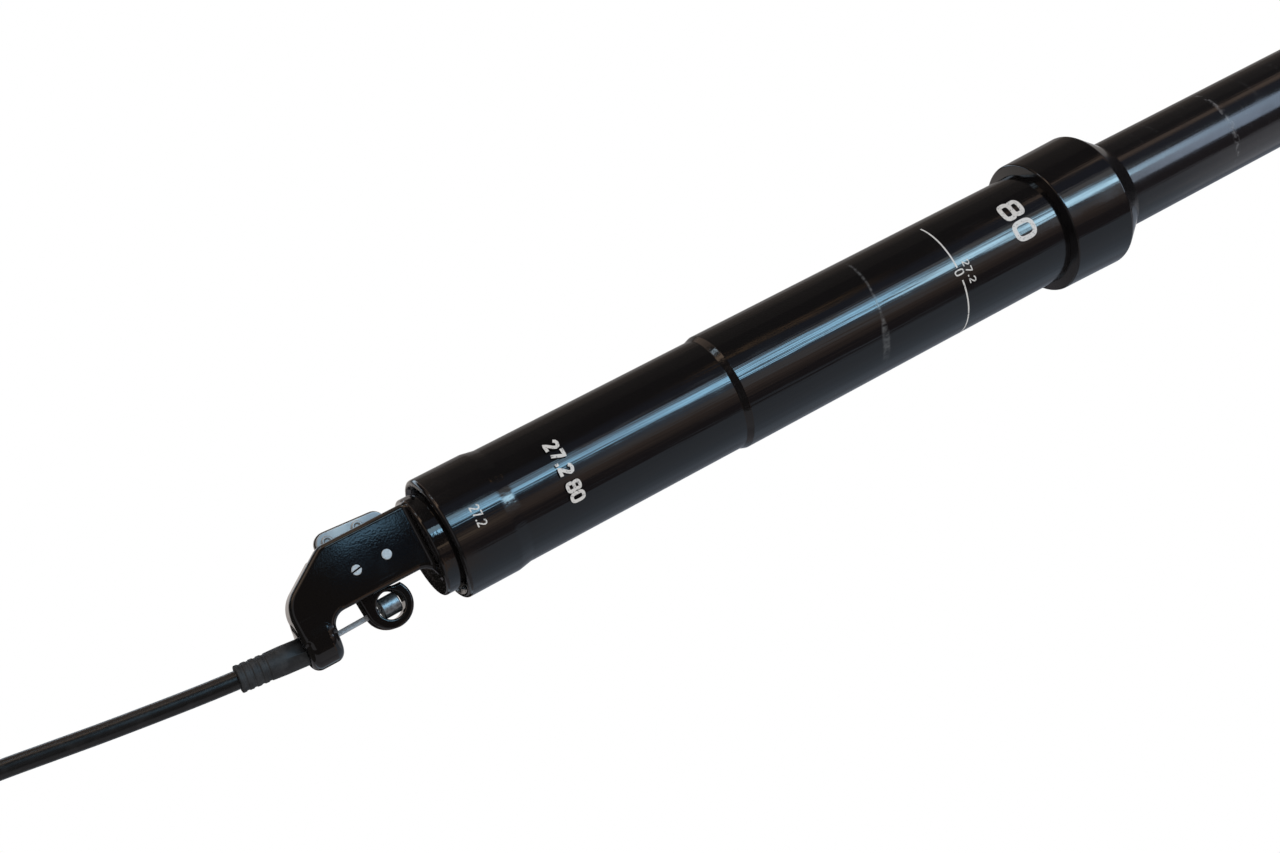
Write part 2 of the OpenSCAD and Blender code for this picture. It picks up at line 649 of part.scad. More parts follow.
module upper_clamp() color([0.05, 0.05, 0.055]) difference() {
    union() {
        intersection() {
            translate([-seat_r, -cradle_w / 2, tilt_z + clamp_gap]) cube([2 * seat_r, cradle_w, clamp_h]);
            cross_rod([0, tilt_z + clamp_gap + clamp_h - crown_r], crown_r, -cradle_w / 2, cradle_w / 2);
        }
        for (s = [-1, 1]) {
            cross_rod([s * bolt_x, tilt_z], ear_r, -ear_w / 2, ear_w / 2);
            translate([min(s * bolt_x, 0), -ear_w / 2, tilt_z + clamp_gap]) cube([bolt_x, ear_w, ear_r - clamp_gap]);
        }
    }
    rail_grooves();
    for (s = [-1, 1]) {
        cross_rod([s * bolt_x, tilt_z], nut_d / 2 + free, -nut_len / 2 - free, nut_len / 2 + free);
        translate([s * bolt_x - nut_d / 2 - free, -nut_len / 2 - free, tilt_z])
            cube([nut_d + 2 * free, nut_len + 2 * free, ear_r + clamp_h]);
        translate([s * bolt_x, 0, tilt_z - ear_r - cut]) cylinder(r = bolt_r + slot_reach, h = ear_r + cut);
    }
}

module barrel_nut(s) difference() {
    cross_rod([s * bolt_x, tilt_z], nut_d / 2, -nut_len / 2, nut_len / 2);
    translate([s * bolt_x, 0, tilt_z - nut_d]) cylinder(r = bolt_r + running, h = 2 * nut_d);
}

module front_barrel_nut() color([0.6, 0.6, 0.62]) barrel_nut(1);

module rear_barrel_nut() color([0.6, 0.6, 0.62]) barrel_nut(-1);

// Straight bar with a round end, drawn in X and Z
module bar(a, b, r) {
    translate(a) rotate(atan2(b.y - a.y, b.x - a.x)) translate([0, -r]) square([norm(b - a), 2 * r]);
    translate(b) circle(r = r, $fn = 48);
}

module cable_lever() color([0.02, 0.02, 0.022]) difference() {
    plate(-lever_t / 2, lever_t / 2) difference() {
        union() {
            difference() {
                union() {
                    translate(ring_at) circle(d = ring_d);
                    translate(low_pin) circle(r = lever_boss_r);
                    lever_arm();
                }
                translate(high_pin) circle(r = tail_room);
            }
            bar(low_pin, nose_at, nose_r);
        }
        translate(ring_at) circle(d = ring_hole_d);
        translate(low_pin) circle(r = pivot_r);
    }
    plate(-wire_slot_w / 2, wire_slot_w / 2)
        translate(ring_at) polygon(concat([[0, 0]], arc([0, 0], ring_d, wire_slot[0], wire_slot[1], 4)));
}

// Arm between the boss and the ring, tangent to both
module lever_arm() {
    reach = norm(ring_at - low_pin);
    turn = atan2(ring_rise, ring_arm);
    lean = asin((ring_d / 2 - lever_boss_r) / reach);
    side = [for (s = [-1, 1]) [cos(turn + s * (90 + lean)), sin(turn + s * (90 + lean))]];
    polygon([low_pin + lever_boss_r * side[0], ring_at + ring_d / 2 * side[0],
        ring_at + ring_d / 2 * side[1], low_pin + lever_boss_r * side[1]]);
}

module push_lever() color([0.55, 0.56, 0.58]) plate(-lever_t / 2, lever_t / 2) difference() {
    union() {
        translate(high_pin) circle(r = push_boss_r);
        translate(lobe_at) circle(r = lobe_r);
        translate([tail_x, tail_end]) square([tail_w, high_pin.y - tail_end]);
    }
    translate(high_pin) circle(r = pivot_r);
}

module release_pin() color([0.75, 0.76, 0.78])
    translate([0, 0, release_low]) cylinder(r = release_r, h = rod_top - 2 - release_low);

module cable_head() color([0.6, 0.64, 0.68]) on_wire() difference() {
    rotate_extrude() polygon([[0, -head_len / 2], [head_d / 2 - head_bevel, -head_len / 2],
        [head_d / 2, head_bevel - head_len / 2], [head_d / 2, head_len / 2 - head_bevel],
        [head_d / 2 - head_bevel, head_len / 2], [0, head_len / 2]]);
    translate([0, 0, -head_len / 2 - cut]) cylinder(r = wire_d / 2 + fixed, h = head_len / 2 + cut);
}

module inner_wire() color([0.72, 0.73, 0.75]) on_wire()
    translate([0, 0, -wire_len]) cylinder(d = wire_d, h = wire_len - fixed);

outer_tube();
collar();
collar_o_ring();
wiper_seal();
upper_bushing();
actuator_bracket();
guide_plate();
plate_rivets();
pivot_pins();
rod_nut();
bump_stop();
piston_rod();
piston();
housing_ferrule();
cable_boot();
cable_housing();
cable_coil();
coil_tie();
far_ferrule();
stanchion();
guide_keys();
lower_bushing();
cartridge_tube();
cartridge_seal_head();
cartridge_plug();
cartridge_snap_ring();
saddle_head();
clamp_bolts();
bolt_washers();
lower_cradle();
upper_clamp();
front_barrel_nut();
rear_barrel_nut();
cable_lever();
push_lever();
release_pin();
cable_head();
inner_wire();
wire_tail();
crimp_cap();
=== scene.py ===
# Dropper seatpost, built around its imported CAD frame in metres. Sizes in the sections are in millimetres.
import math
from math import cos, pi, radians, sin

import bmesh
import bpy
import numpy as np
from mathutils import Matrix, Vector
from numpy import hypot, maximum, minimum


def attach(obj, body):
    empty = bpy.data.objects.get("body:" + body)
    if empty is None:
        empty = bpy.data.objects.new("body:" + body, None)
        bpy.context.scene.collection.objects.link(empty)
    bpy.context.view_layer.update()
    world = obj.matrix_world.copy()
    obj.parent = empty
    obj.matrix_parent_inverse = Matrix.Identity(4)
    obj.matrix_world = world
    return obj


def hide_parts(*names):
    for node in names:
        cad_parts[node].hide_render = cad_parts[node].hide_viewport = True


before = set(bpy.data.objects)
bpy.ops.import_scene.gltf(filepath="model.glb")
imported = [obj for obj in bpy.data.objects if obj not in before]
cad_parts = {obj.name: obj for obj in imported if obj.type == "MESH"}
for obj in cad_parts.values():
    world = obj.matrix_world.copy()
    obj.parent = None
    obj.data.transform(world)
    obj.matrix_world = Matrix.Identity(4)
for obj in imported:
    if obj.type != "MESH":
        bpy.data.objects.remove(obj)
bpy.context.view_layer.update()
MM = 0.001
scene = bpy.context.scene


# The photograph's view: a normal lens near the foot of the post, looking up along it by 20 degrees and
# rolled, so that the post runs from the lower left to the upper right.
def put(name, data):
    """New object of that data, linked into the scene."""
    made = bpy.data.objects.new(name, data)
    scene.collection.objects.link(made)
    return made


def placed(spot, x_axis, y_axis, z_axis):
    """Matrix of an object at that spot with those axes."""
    return Matrix.Translation(spot) @ Matrix((x_axis, y_axis, z_axis)).transposed().to_4x4()


PHOTO_WIDTH, LENS_PX, SENSOR = 1280, 1900, 36
CAMERA_AT = Vector((-1.36, -385.6, -247.85)) * MM
VIEW_TILT = radians(20)
ROLL_COS, ROLL_SIN = 0.8862, 0.4633
across = Vector((1, 0, 0))
along = Vector((0, -sin(VIEW_TILT), cos(VIEW_TILT)))
ahead = Vector((0, cos(VIEW_TILT), sin(VIEW_TILT)))
right, up = ROLL_COS * along + ROLL_SIN * across, ROLL_SIN * along - ROLL_COS * across
lens = bpy.data.cameras.new("photo_lens")
lens.sensor_width = SENSOR
lens.lens = SENSOR * LENS_PX / PHOTO_WIDTH
lens.clip_start, lens.clip_end = 0.01, 50
camera = put("photo_camera", lens)
camera.matrix_world = placed(CAMERA_AT, right, up, -ahead)
scene.camera = camera


# Outer tube: drawn aluminium, turned down in the middle, painted gloss black, with a printed insertion line.
# The clamp has rubbed a ring into its paint, and handling has left fine lengthwise hairlines.
class Value:
    """One socket of a finish's nodes. Plain arithmetic on it adds Math nodes."""

    def __init__(self, finish, socket):
        self.finish, self.socket = finish, socket

    def math(self, operation, other=0.0):
        return self.finish.node("ShaderNodeMath", {"operation": operation}, {0: self, 1: other})

    def __add__(self, other):
        return self.math("ADD", other)

    def __sub__(self, other):
        return self.math("SUBTRACT", other)

    def __mul__(self, other):
        return self.math("MULTIPLY", other)

    def __abs__(self):
        return self.math("ABSOLUTE")

    def ramp(self, low, high):
        """0 below low, 1 above high, smooth between them; turned round where low is the larger."""
        return self.finish.node("ShaderNodeMapRange", {"interpolation_type": "SMOOTHSTEP"},
                                {"Value": self, "From Min": low, "From Max": high})


class Finish:
    """A material: a Principled shader with its constants, and the nodes that vary it over the surface."""

    def __init__(self, name, **constants):
        self.material = bpy.data.materials.new(name)
        self.material.use_nodes = True
        self.tree = self.material.node_tree
        self.tree.nodes.clear()
        self.shader = self.tree.nodes.new("ShaderNodeBsdfPrincipled")
        output = self.tree.nodes.new("ShaderNodeOutputMaterial")
        self.tree.links.new(self.shader.outputs[0], output.inputs[0])
        for socket, value in constants.items():
            self.shader.inputs[socket.replace("_", " ")].default_value = value
        self.place = self.node("ShaderNodeTexCoord", out="Object")
        self.x, self.y, self.z = (self.node("ShaderNodeSeparateXYZ", {}, {0: self.place}, out) for out in "XYZ")

    def node(self, kind, settings=(), sockets=(), out=0):
        made = self.tree.nodes.new(kind)
        for name, value in dict(settings).items():
            setattr(made, name, value)
        for name, value in dict(sockets).items():
            if isinstance(value, Value):
                self.tree.links.new(value.socket, made.inputs[name])
            else:
                made.inputs[name].default_value = value
        return Value(self, made.outputs[out])

    def noise(self, size, stretch=(1, 1, 1), detail=3.0, rough=0.55):
        """Noise with features of about size millimetres, drawn out by stretch along each axis."""
        scale = [1 / (size * MM * s) for s in stretch]
        spot = self.node("ShaderNodeVectorMath", {"operation": "MULTIPLY"}, {0: self.place, 1: scale})
        return self.node("ShaderNodeTexNoise", {},
                         {"Vector": spot, "Scale": 1, "Detail": detail, "Roughness": rough})

    def mix(self, share, first, second):
        """Colour between two colours."""
        first, second = (c if isinstance(c, Value) else (*c, 1) for c in (first, second))
        return self.node("ShaderNodeMix", {"data_type": "RGBA"}, {0: share, 6: first, 7: second}, 2)

    def bump(self, height, depth):
        """Surface normal from a height of 0 to 1 that stands for depth millimetres."""
        return self.node("ShaderNodeBump", {}, {"Height": height, "Distance": depth * MM, "Strength": 1})

    def feed(self, **links):
        for socket, value in links.items():
            self.tree.links.new(value.socket, self.shader.inputs[socket.replace("_", " ")])


def rounded(corners, steps=6, hold=0.04):
    """Outline from (a, b, radius) corners: arcs at the corners, and a holding point beside each arc's ends."""
    made = []
    count = len(corners)
    for i, (a, b, radius) in enumerate(corners):
        here = Vector((a, b))
        before = Vector(corners[i - 1][:2]) - here
        after = Vector(corners[(i + 1) % count][:2]) - here
        angle = before.angle(after, pi)
        if radius <= 0 or angle > pi - 1e-4:
            made.append(tuple(here))
            continue
        shares = [side.length * 0.96 * radius / (radius + max(0.05, corners[k % count][2]))
                  for side, k in ((before, i - 1), (after, i + 1))]
        reach = min(radius / math.tan(angle / 2), *shares)
        radius = reach * math.tan(angle / 2)
        into, out = before.normalized(), after.normalized()
        centre = here + (into + out).normalized() * (radius / sin(angle / 2))
        start, end = here + into * reach - centre, here + out * reach - centre
        turn = start.angle_signed(end)
        made.append(tuple(centre + start + into * hold))
        for k in range(steps + 1):
            made.append(tuple(centre + Matrix.Rotation(-turn * k / steps, 2) @ start))
        made.append(tuple(centre + end + out * hold))
    return made


def add_piece(name, vertices, faces, finish, normals=None):
    mesh = bpy.data.meshes.new(name)
    mesh.from_pydata([tuple(v) for v in vertices], [], [tuple(f) for f in faces])
    mesh.update()
    mesh.polygons.foreach_set("use_smooth", [True] * len(mesh.polygons))
    if normals is not None:
        mesh.normals_split_custom_set_from_vertices([tuple(n) for n in normals])
    mesh.materials.append(finish.material)
    return put(name, mesh)


def turned(name, outline, finish, place=None, sides=144):
    """Closed outline of (radius, height) turned about an axis: Z, or the Z of place."""
    place = place or Matrix.Identity(4)
    ring = [(cos(2 * pi * k / sides), sin(2 * pi * k / sides)) for k in range(sides)]
    vertices = [place @ Vector((r * c, r * s, z)) * MM for r, z in outline for c, s in ring]
    count = len(outline)
    area = sum(a[0] * b[1] - b[0] * a[1] for a, b in zip(outline, outline[1:] + outline[:1]))
    faces = []
    for i in range(count):
        low, high = i * sides, (i + 1) % count * sides
        for k in range(sides):
            face = (low + k, low + (k + 1) % sides, high + (k + 1) % sides, high + k)
            faces.append(face if area > 0 else face[::-1])
    piece = add_piece(name, vertices, faces, finish)
    if min(r for r, z in outline) < 1e-6:
        closed = bmesh.new()
        closed.from_mesh(piece.data)
        bmesh.ops.remove_doubles(closed, verts=closed.verts, dist=1e-7)
        bmesh.ops.dissolve_degenerate(closed, edges=closed.edges, dist=1e-8)
        closed.to_mesh(piece.data)
        closed.free()
    return piece


def fit(piece, body, slot, *nodes):
    """The piece rides on a body and stands for CAD nodes, which it hides. The slot is not used."""
    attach(piece, body)
    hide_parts(*nodes)


def black_gloss(name, colour, roughness, peel, drawn=0.0, peel_size=1.6):
    """Gloss black with smudges, hairlines and dust. Peel and drawn are the depths in millimetres of its orange
    peel and of a drawn tube's lengthwise lines."""
    paint = Finish(name, IOR=1.5)
    smudge = paint.noise(9, detail=4)
    hairline = paint.noise(0.25, (1, 1, 60), detail=2).ramp(0.66, 0.82)
    dust = paint.noise(0.5, detail=2, rough=0.8).ramp(0.72, 0.84)
    paint.colour = paint.mix(hairline * 0.12 + dust * 0.12, colour, (0.05, 0.05, 0.055))
    paint.gloss = smudge.ramp(0.4, 0.8) * 0.07 + hairline * 0.1 + roughness
    lines = paint.noise(1.0, (1, 1, 70), rough=0.6)
    relief = paint.bump(paint.noise(peel_size, detail=1) * peel + lines * drawn, 1)
    paint.feed(Base_Color=paint.colour, Roughness=paint.gloss, Normal=relief)
    return paint


tube_paint = black_gloss("tube_paint", (0.004, 0.0036, 0.0038), 0.1, 0.003, 0.06)
RUB_Z, RUB_SLANT = -50.1, 150
rub_level = abs(tube_paint.z * 1000 + tube_paint.x * RUB_SLANT - RUB_Z)
rub_breaks = tube_paint.noise(0.7, (1, 1, 2.2), detail=5)
smeared_side = tube_paint.x.ramp(0.001, 0.006)
rub_edge = (rub_level - smeared_side * 0.7).ramp(0.55, -0.15)
rub_reach = tube_paint.y.ramp(-0.004, -0.01) * tube_paint.x.ramp(0.0118, 0.0085)
rub = rub_edge * rub_breaks.ramp(0.28, 0.74) * rub_reach * (smeared_side * -0.18 + 0.4)
tube_paint.feed(Base_Color=tube_paint.mix(rub, tube_paint.colour, (0.3, 0.31, 0.32)),
                Roughness=tube_paint.gloss + rub * 0.35)
POST_R, BORE_R, RELIEF_R, THREAD_R = 13.6, 11.75, 13.05, 13.2
TUBE_END, TUBE_TOP, COLLAR_LOW = -158.8, 14, 2.7
RELIEF_LOW, RELIEF_TOP = -143.2, -89.2
fit(turned("painted_tube", rounded([
    (BORE_R, TUBE_END + 0.7, 0.2), (BORE_R + 0.7, TUBE_END, 0.2), (POST_R, TUBE_END, 0.8),
    (POST_R, RELIEF_LOW - 3, 4), (RELIEF_R, RELIEF_LOW, 4), (RELIEF_R, RELIEF_TOP, 1.0),
    (POST_R, RELIEF_TOP + 1.6, 0.8), (POST_R, COLLAR_LOW, 0.2), (THREAD_R, COLLAR_LOW, 0),
    (THREAD_R, TUBE_TOP, 0.2), (BORE_R, TUBE_TOP, 0.2)]), tube_paint, sides=192),
    "outer", "gloss_black", "outer_tube")

# Print on the tube: the white insertion line with its zero, and plain size numbers.
# Screen-printed ink, a little broken where hands and the clamp have worn it.
ink = Finish("print_ink", IOR=1.45)
worn_ink = ink.noise(0.5, detail=4, rough=0.7).ramp(0.34, 0.46)
ink.feed(Base_Color=ink.mix(worn_ink, (0.13, 0.13, 0.135), (0.57, 0.56, 0.545)),
         Roughness=worn_ink * 0.12 + 0.33, Normal=ink.bump(worn_ink, 0.01))
INK_R, DIGIT_TALL = POST_R + 0.015, 1.8


def round_box(v, width, height, square=0.65):
    """Points of a loop between an ellipse and a rectangle, its middle at half a digit's width and v."""
    turns = [a / 14 * pi for a in range(29)]
    return [(0.5 + width * math.copysign(abs(cos(t)) ** square, cos(t)),
             v + height * math.copysign(abs(sin(t)) ** square, sin(t))) for t in turns]


DIGITS = {
    "0": [round_box(0.9, 0.4, 0.82)],
    "2": [[(0.1, 1.4), (0.22, 1.66), (0.5, 1.75), (0.8, 1.62), (0.88, 1.3), (0.74, 0.98), (0.1, 0.08),
           (0.92, 0.08)]],
    "7": [[(0.08, 1.72), (0.9, 1.72), (0.38, 0.05)]],
    "8": [round_box(1.33, 0.36, 0.39), round_box(0.5, 0.4, 0.44)],
    ".": [[(0.12, 0.14), (0.42, 0.14)]]}
print_vertices, print_faces = [], []


def print_stroke(points, width):
    """A line of ink on the tube through (angle in degrees from the near side, height) points."""
    spots = [Vector((radians(a) * INK_R, z)) for a, z in points]
    base = len(print_vertices)
    for i, spot in enumerate(spots):
        before = spot - spots[i - 1] if i else spots[1] - spot
        after = spots[i + 1] - spot if i + 1 < len(spots) else before
        line = (before.normalized() + after.normalized()).normalized()
        side = Vector((-line.y, line.x)) * width / 2
        for edge in (spot - side, spot + side):
            turn = edge.x / INK_R
            print_vertices.append(Vector((INK_R * sin(turn), -INK_R * cos(turn), edge.y)) * MM)
    print_faces.extend((k, k + 2, k + 3, k + 1) for k in range(base, len(print_vertices) - 2, 2))


def print_number(text, angle, z, height, width, stretch=1.0):
    """Digits one after another round the tube from angle, their feet at z, widened by stretch."""
    unit = height / DIGIT_TALL
    step = math.degrees(stretch * unit / INK_R)
    for digit in text:
        for stroke in DIGITS.get(digit, []):
            dense = [(a + (c - a) * k / 4, b + (d - b) * k / 4)
                     for (a, b), (c, d) in zip(stroke, stroke[1:]) for k in range(4)] + [stroke[-1]]
            print_stroke([(angle + u * step, z + v * unit) for u, v in dense], width)
        angle += (0.6 if digit in ". " else 1.16) * step


LINE_Z, LINE_WIDTH = -28.1, 0.38
for first, last in ((-58, 1), (13, 120)):
    print_stroke([(a, LINE_Z) for a in range(first, last, 2)], LINE_WIDTH)
print_number("0", 2.2, LINE_Z - 1.2, 2.4, 0.32)
print_number("27.2", -3.5, -26.4, 1.7, 0.28, 1.5)
print_number("80", -36, -10.6, 5.4, 1.15, 1.6)
print_number("27.2 80", -32, -132.6, 3.0, 0.75, 1.25)
print_number("27.2", -12, -153, 2.1, 0.3)
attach(add_piece("print_marks", print_vertices, print_faces, ink), "outer")

# Collar: turned aluminium, screwed on the tube's top and painted like it.
# It ends in a cone down to the mouth that holds the wiper.
collar_paint = black_gloss("collar_paint", (0.004, 0.0035, 0.0037), 0.09, 0.003, 0.03)
CONE_LOW, COLLAR_TOP, SHOULDER_Z, WIPER_TOP = 19.0, 25.3, 15.45, 21.82
MOUTH_R, WIPER_R = 11.35, 12.57
fit(turned("painted_collar", rounded([
    (THREAD_R + 0.02, COLLAR_LOW, 0), (POST_R + 0.02, COLLAR_LOW - 0.45, 0.1), (16.1, COLLAR_LOW, 0.5),
    (16.45, CONE_LOW, 1.0), (11.8, COLLAR_TOP, 0.2), (MOUTH_R, COLLAR_TOP, 0.15), (MOUTH_R, WIPER_TOP, 0),
    (WIPER_R, WIPER_TOP, 0), (WIPER_R, SHOULDER_Z, 0), (THREAD_R + 0.02, SHOULDER_Z, 0)], 8),
    collar_paint, sides=192),
    "outer", "gloss_black", "collar")


# Wiper seal: moulded rubber, pressed into the collar's mouth.
# Its thin lip stands against the stanchion and keeps dirt out.
def mottled(name, dark, light, noise, rough, depth, ramp=None, relief=None, **constants):
    """Finish whose noise gives its tone, and relief its bumps. Rough has both their shares and the least."""
    made = Finish(name, **constants)
    mottle = made.noise(**noise)
    bumps = made.noise(**relief) if relief else mottle
    made.feed(Base_Color=made.mix(mottle.ramp(*ramp) if ramp else mottle, dark, light),
              Roughness=mottle * rough[0] + bumps * rough[1] + rough[2], Normal=made.bump(bumps, depth))
    return made


rubber = mottled("seal_rubber_matt", (0.011, 0.011, 0.011), (0.026, 0.026, 0.027), dict(size=4, detail=4),
                 (0.2, 0, 0.45), 0.01, (0.4, 0.8), dict(size=0.3, detail=2), IOR=1.5)
LIP_R = 10.9
fit(turned("wiper_lip", rounded([
    (LIP_R, SHOULDER_Z, 0), (WIPER_R - 0.02, SHOULDER_Z, 0), (WIPER_R - 0.02, WIPER_TOP - 0.03, 0),
    (MOUTH_R - 0.05, WIPER_TOP - 0.03, 0), (MOUTH_R - 0.05, COLLAR_TOP + 0.2, 0.15),
    (LIP_R, COLLAR_TOP + 0.5, 0.1)]), rubber),
    "outer", "seal_rubber", "wiper_seal")

# Stanchion: drawn aluminium, hard-anodised black and polished, sliding in the outer tube.
# The wiper has left faint rub rings on it.
hard_coat = black_gloss("stanchion_coat", (0.0055, 0.005, 0.0055), 0.15, 0.002, 0.03)
ring_wave = hard_coat.noise(2.2, (30, 30, 1))
ring_breaks = hard_coat.noise(1.2, detail=4)
RING_ZONE_Z = 60
ring_zone = abs(hard_coat.z * 1000 - RING_ZONE_Z).ramp(7, 1)
wiped = ring_wave.ramp(0.58, 0.7) * ring_breaks.ramp(0.42, 0.66) * (ring_zone * 0.55 + 0.05)
hard_coat.feed(Base_Color=hard_coat.mix(wiped, hard_coat.colour, (0.2, 0.2, 0.21)),
               Roughness=hard_coat.gloss + wiped * 0.2)
STANCHION_R, STANCHION_BORE, STANCHION_LOW, STANCHION_TOP = 10.85, 9.25, -62, 132
fit(turned("polished_stanchion", rounded([
    (STANCHION_BORE, STANCHION_LOW, 0.2), (STANCHION_R, STANCHION_LOW, 0.4), (STANCHION_R, STANCHION_TOP, 0.4),
    (STANCHION_BORE, STANCHION_TOP, 0.2)]), hard_coat, sides=192),
    "inner", "stanchion_black", "stanchion")


# Actuator bracket: one aluminium casting painted gloss black, plugged into the tube's foot and held by the
# rod's nut. Two cheeks carry the levers' pins, and a web and a round boss form the hook that the cable's
# housing stands against.
def skin(name, shape, low, high, cell, finish):
    """Mesh of a solid whose shape gives the distance to its surface: a point on it for each crossed cell."""
    low, high = np.array(low, float), np.array(high, float)
    count = np.ceil((high - low) / cell).astype(int) + 1
    x, y, z = (low[i] + cell * np.arange(count[i]) for i in range(3))
    inside = np.broadcast_to(shape(x[:, None, None], y[None, :, None], z[None, None, :]) < 0, count)
    corners = [inside[i:count[0] - 1 + i, j:count[1] - 1 + j, k:count[2] - 1 + k]
               for i in (0, 1) for j in (0, 1) for k in (0, 1)]
    filled = sum(c.astype(np.int8) for c in corners)
    crossed = (filled > 0) & (filled < 8)
    number = np.full(count - 1, -1)
    number[crossed] = np.arange(crossed.sum())
    points = low + (np.argwhere(crossed) + 0.5) * cell
    quads = []
    for axis in range(3):
        a, b = (axis + 1) % 3, (axis + 2) % 3
        first = np.take(inside, range(count[axis] - 1), axis)
        edges = np.argwhere(first != np.take(inside, range(1, count[axis]), axis))
        for side in (a, b):
            edges = edges[(edges[:, side] > 0) & (edges[:, side] < count[side] - 1)]
        ring = []
        for step_a, step_b in ((-1, -1), (0, -1), (0, 0), (-1, 0)):
            cells = edges.copy()
            cells[:, a] += step_a
            cells[:, b] += step_b
            ring.append(number[tuple(cells.T)])
        quad = np.stack(ring, 1)
        outward = first[tuple(edges.T)]
        quad[~outward] = quad[~outward][:, ::-1]
        quads.append(quad)
    quads = np.concatenate(quads)

    def slope(p, reach):
        steps = np.eye(3) * reach
        return np.stack([shape(*(p + s).T) - shape(*(p - s).T) for s in steps], 1) / (2 * reach)

    def settle(p):
        grade = slope(p, cell * 0.2)
        pull = shape(*p.T) / maximum((grade ** 2).sum(1), 0.2)
        return p - np.clip(pull, -cell, cell)[:, None] * grade

    for relax in range(5):
        if relax in (1, 2):
            total, shares = np.zeros_like(points), np.zeros(len(points))
            for k in range(4):
                np.add.at(total, quads[:, k], points[quads[:, (k + 1) % 4]] + points[quads[:, k - 1]])
                np.add.at(shares, quads[:, k], 2)
            points = 0.4 * points + 0.6 * total / shares[:, None]
        points = settle(points)
    normals = slope(points, cell * 0.5)
    normals /= maximum(np.linalg.norm(normals, axis=1), 1e-9)[:, None]
    return add_piece(name, points * MM, quads, finish, normals)


def meet(a, b, r):
    """Where both solids are, the edge rounded by r."""
    return minimum(-r, maximum(a, b)) + hypot(maximum(a + r, 0), maximum(b + r, 0))


def join(a, b, r):
    """Both solids, the corner between them filled to r."""
    return maximum(r, minimum(a, b)) - hypot(maximum(r - a, 0), maximum(r - b, 0))


def carve(a, b, r):
    """The first solid without the second, the edge rounded by r."""
    return meet(a, -b, r)


def slab(v, low, high):
    return abs(v - (low + high) / 2) - (high - low) / 2


def flat(points):
    """Distance from an outline in two axes, negative inside it."""
    ends = list(zip(points, points[1:] + points[:1]))

    def distance(u, v):
        u, v = np.broadcast_arrays(u, v)
        best, inside = np.full(u.shape, 1e9), np.zeros(u.shape, bool)
        for (au, av), (bu, bv) in ends:
            eu, ev, wu, wv = bu - au, bv - av, u - au, v - av
            t = np.clip((wu * eu + wv * ev) / max(eu * eu + ev * ev, 1e-12), 0, 1)
            best = minimum(best, (wu - eu * t) ** 2 + (wv - ev * t) ** 2)
            if ev:
                inside ^= ((av > v) != (bv > v)) & (wu < eu * wv / ev)
        return np.where(inside, -1, 1) * np.sqrt(best)

    return distance


def bow(centre, radius, start, end, steps=20):
    """Points of an arc, its angles in degrees."""
    turns = [radians(start + (end - start) * k / steps) for k in range(steps + 1)]
    return [(centre[0] + radius * cos(t), centre[1] + radius * sin(t)) for t in turns]


cast_paint = black_gloss("cast_paint", (0.004, 0.0035, 0.0034), 0.04, 0.003, peel_size=0.42)
FLANGE_LOW, HOOK_LOW, HOOK_TOP = -162.6, -193.4, -186.2
PLUG_LOW, PLUG_TOP = -157.3, -147.0
CHEEK_BACK, CHEEK_FRONT, CHEEK_Y = -10.0, 3.7, 5.8
SLOT_NEAR, SLOT_FAR = -2.6, 3.7
CABLE_X, BOSS_X, BOSS_R = 7.4, 6.7, 5.8
NECK_R, HOOK_R, SPINE_ANGLE = 3.4, 3.2, 214.4
spine_n = (cos(radians(SPINE_ANGLE)), sin(radians(SPINE_ANGLE)))
HEEL_AT = (-4.2, HOOK_LOW + 2.4)
spine_off = spine_n[0] * HEEL_AT[0] + spine_n[1] * HEEL_AT[1] - 0.2
LOW_BOW_R, HIGH_BOW_R = 6.4, 4
low_bow_z, high_bow_x = HOOK_LOW + LOW_BOW_R, CHEEK_BACK + HIGH_BOW_R
low_bow = ((spine_off - LOW_BOW_R - spine_n[1] * low_bow_z) / spine_n[0], low_bow_z)
high_bow = (high_bow_x, (spine_off - HIGH_BOW_R - spine_n[0] * high_bow_x) / spine_n[1])
cheek = flat([(CHEEK_FRONT + NECK_R, FLANGE_LOW + 2)]
             + bow((CHEEK_FRONT + NECK_R, FLANGE_LOW - NECK_R), NECK_R, 90, 180)
             + bow((CHEEK_FRONT + HOOK_R, HOOK_TOP + HOOK_R), HOOK_R, 180, 270)
             + [(BOSS_X, HOOK_TOP), (BOSS_X, HOOK_LOW)]
             + bow(low_bow, LOW_BOW_R, 270, SPINE_ANGLE) + bow(high_bow, HIGH_BOW_R, SPINE_ANGLE, 180)
             + [(CHEEK_BACK, FLANGE_LOW + 2)])
PLATE_TILT, PLATE_SIZE, PLATE_ROUND = radians(-3.7), (14.6, 15.4), 2.4
PIN_LOW, PIN_HIGH = (-2.2, -177.4), (-2.2, -170.5)
PLATE_MID = (PLATE_SIZE[0] / 2 + CHEEK_BACK - 1.8, (PIN_LOW[1] + PIN_HIGH[1]) / 2 + 0.4)


def plate_edge(x, z, grow):
    """Distance from the guide plate's outline, a round-cornered rectangle on a slight tilt."""
    x, z = x - PLATE_MID[0], z - PLATE_MID[1]
    u, v = x * cos(PLATE_TILT) + z * sin(PLATE_TILT), z * cos(PLATE_TILT) - x * sin(PLATE_TILT)
    return meet(abs(u) - PLATE_SIZE[0] / 2, abs(v) - PLATE_SIZE[1] / 2, PLATE_ROUND) - grow


RING_AT = (7.05, -174.0)
CORD_LEAN, WIRE_INSIDE = radians(5), 3
head_at = np.array((RING_AT[0] + 0.25, 0, RING_AT[1] + 0.25))
wire_foot = np.array((CABLE_X + WIRE_INSIDE * sin(CORD_LEAN), 0,
                      HOOK_LOW + WIRE_INSIDE * cos(CORD_LEAN)))
wire_line = (wire_foot - head_at) / np.linalg.norm(wire_foot - head_at)


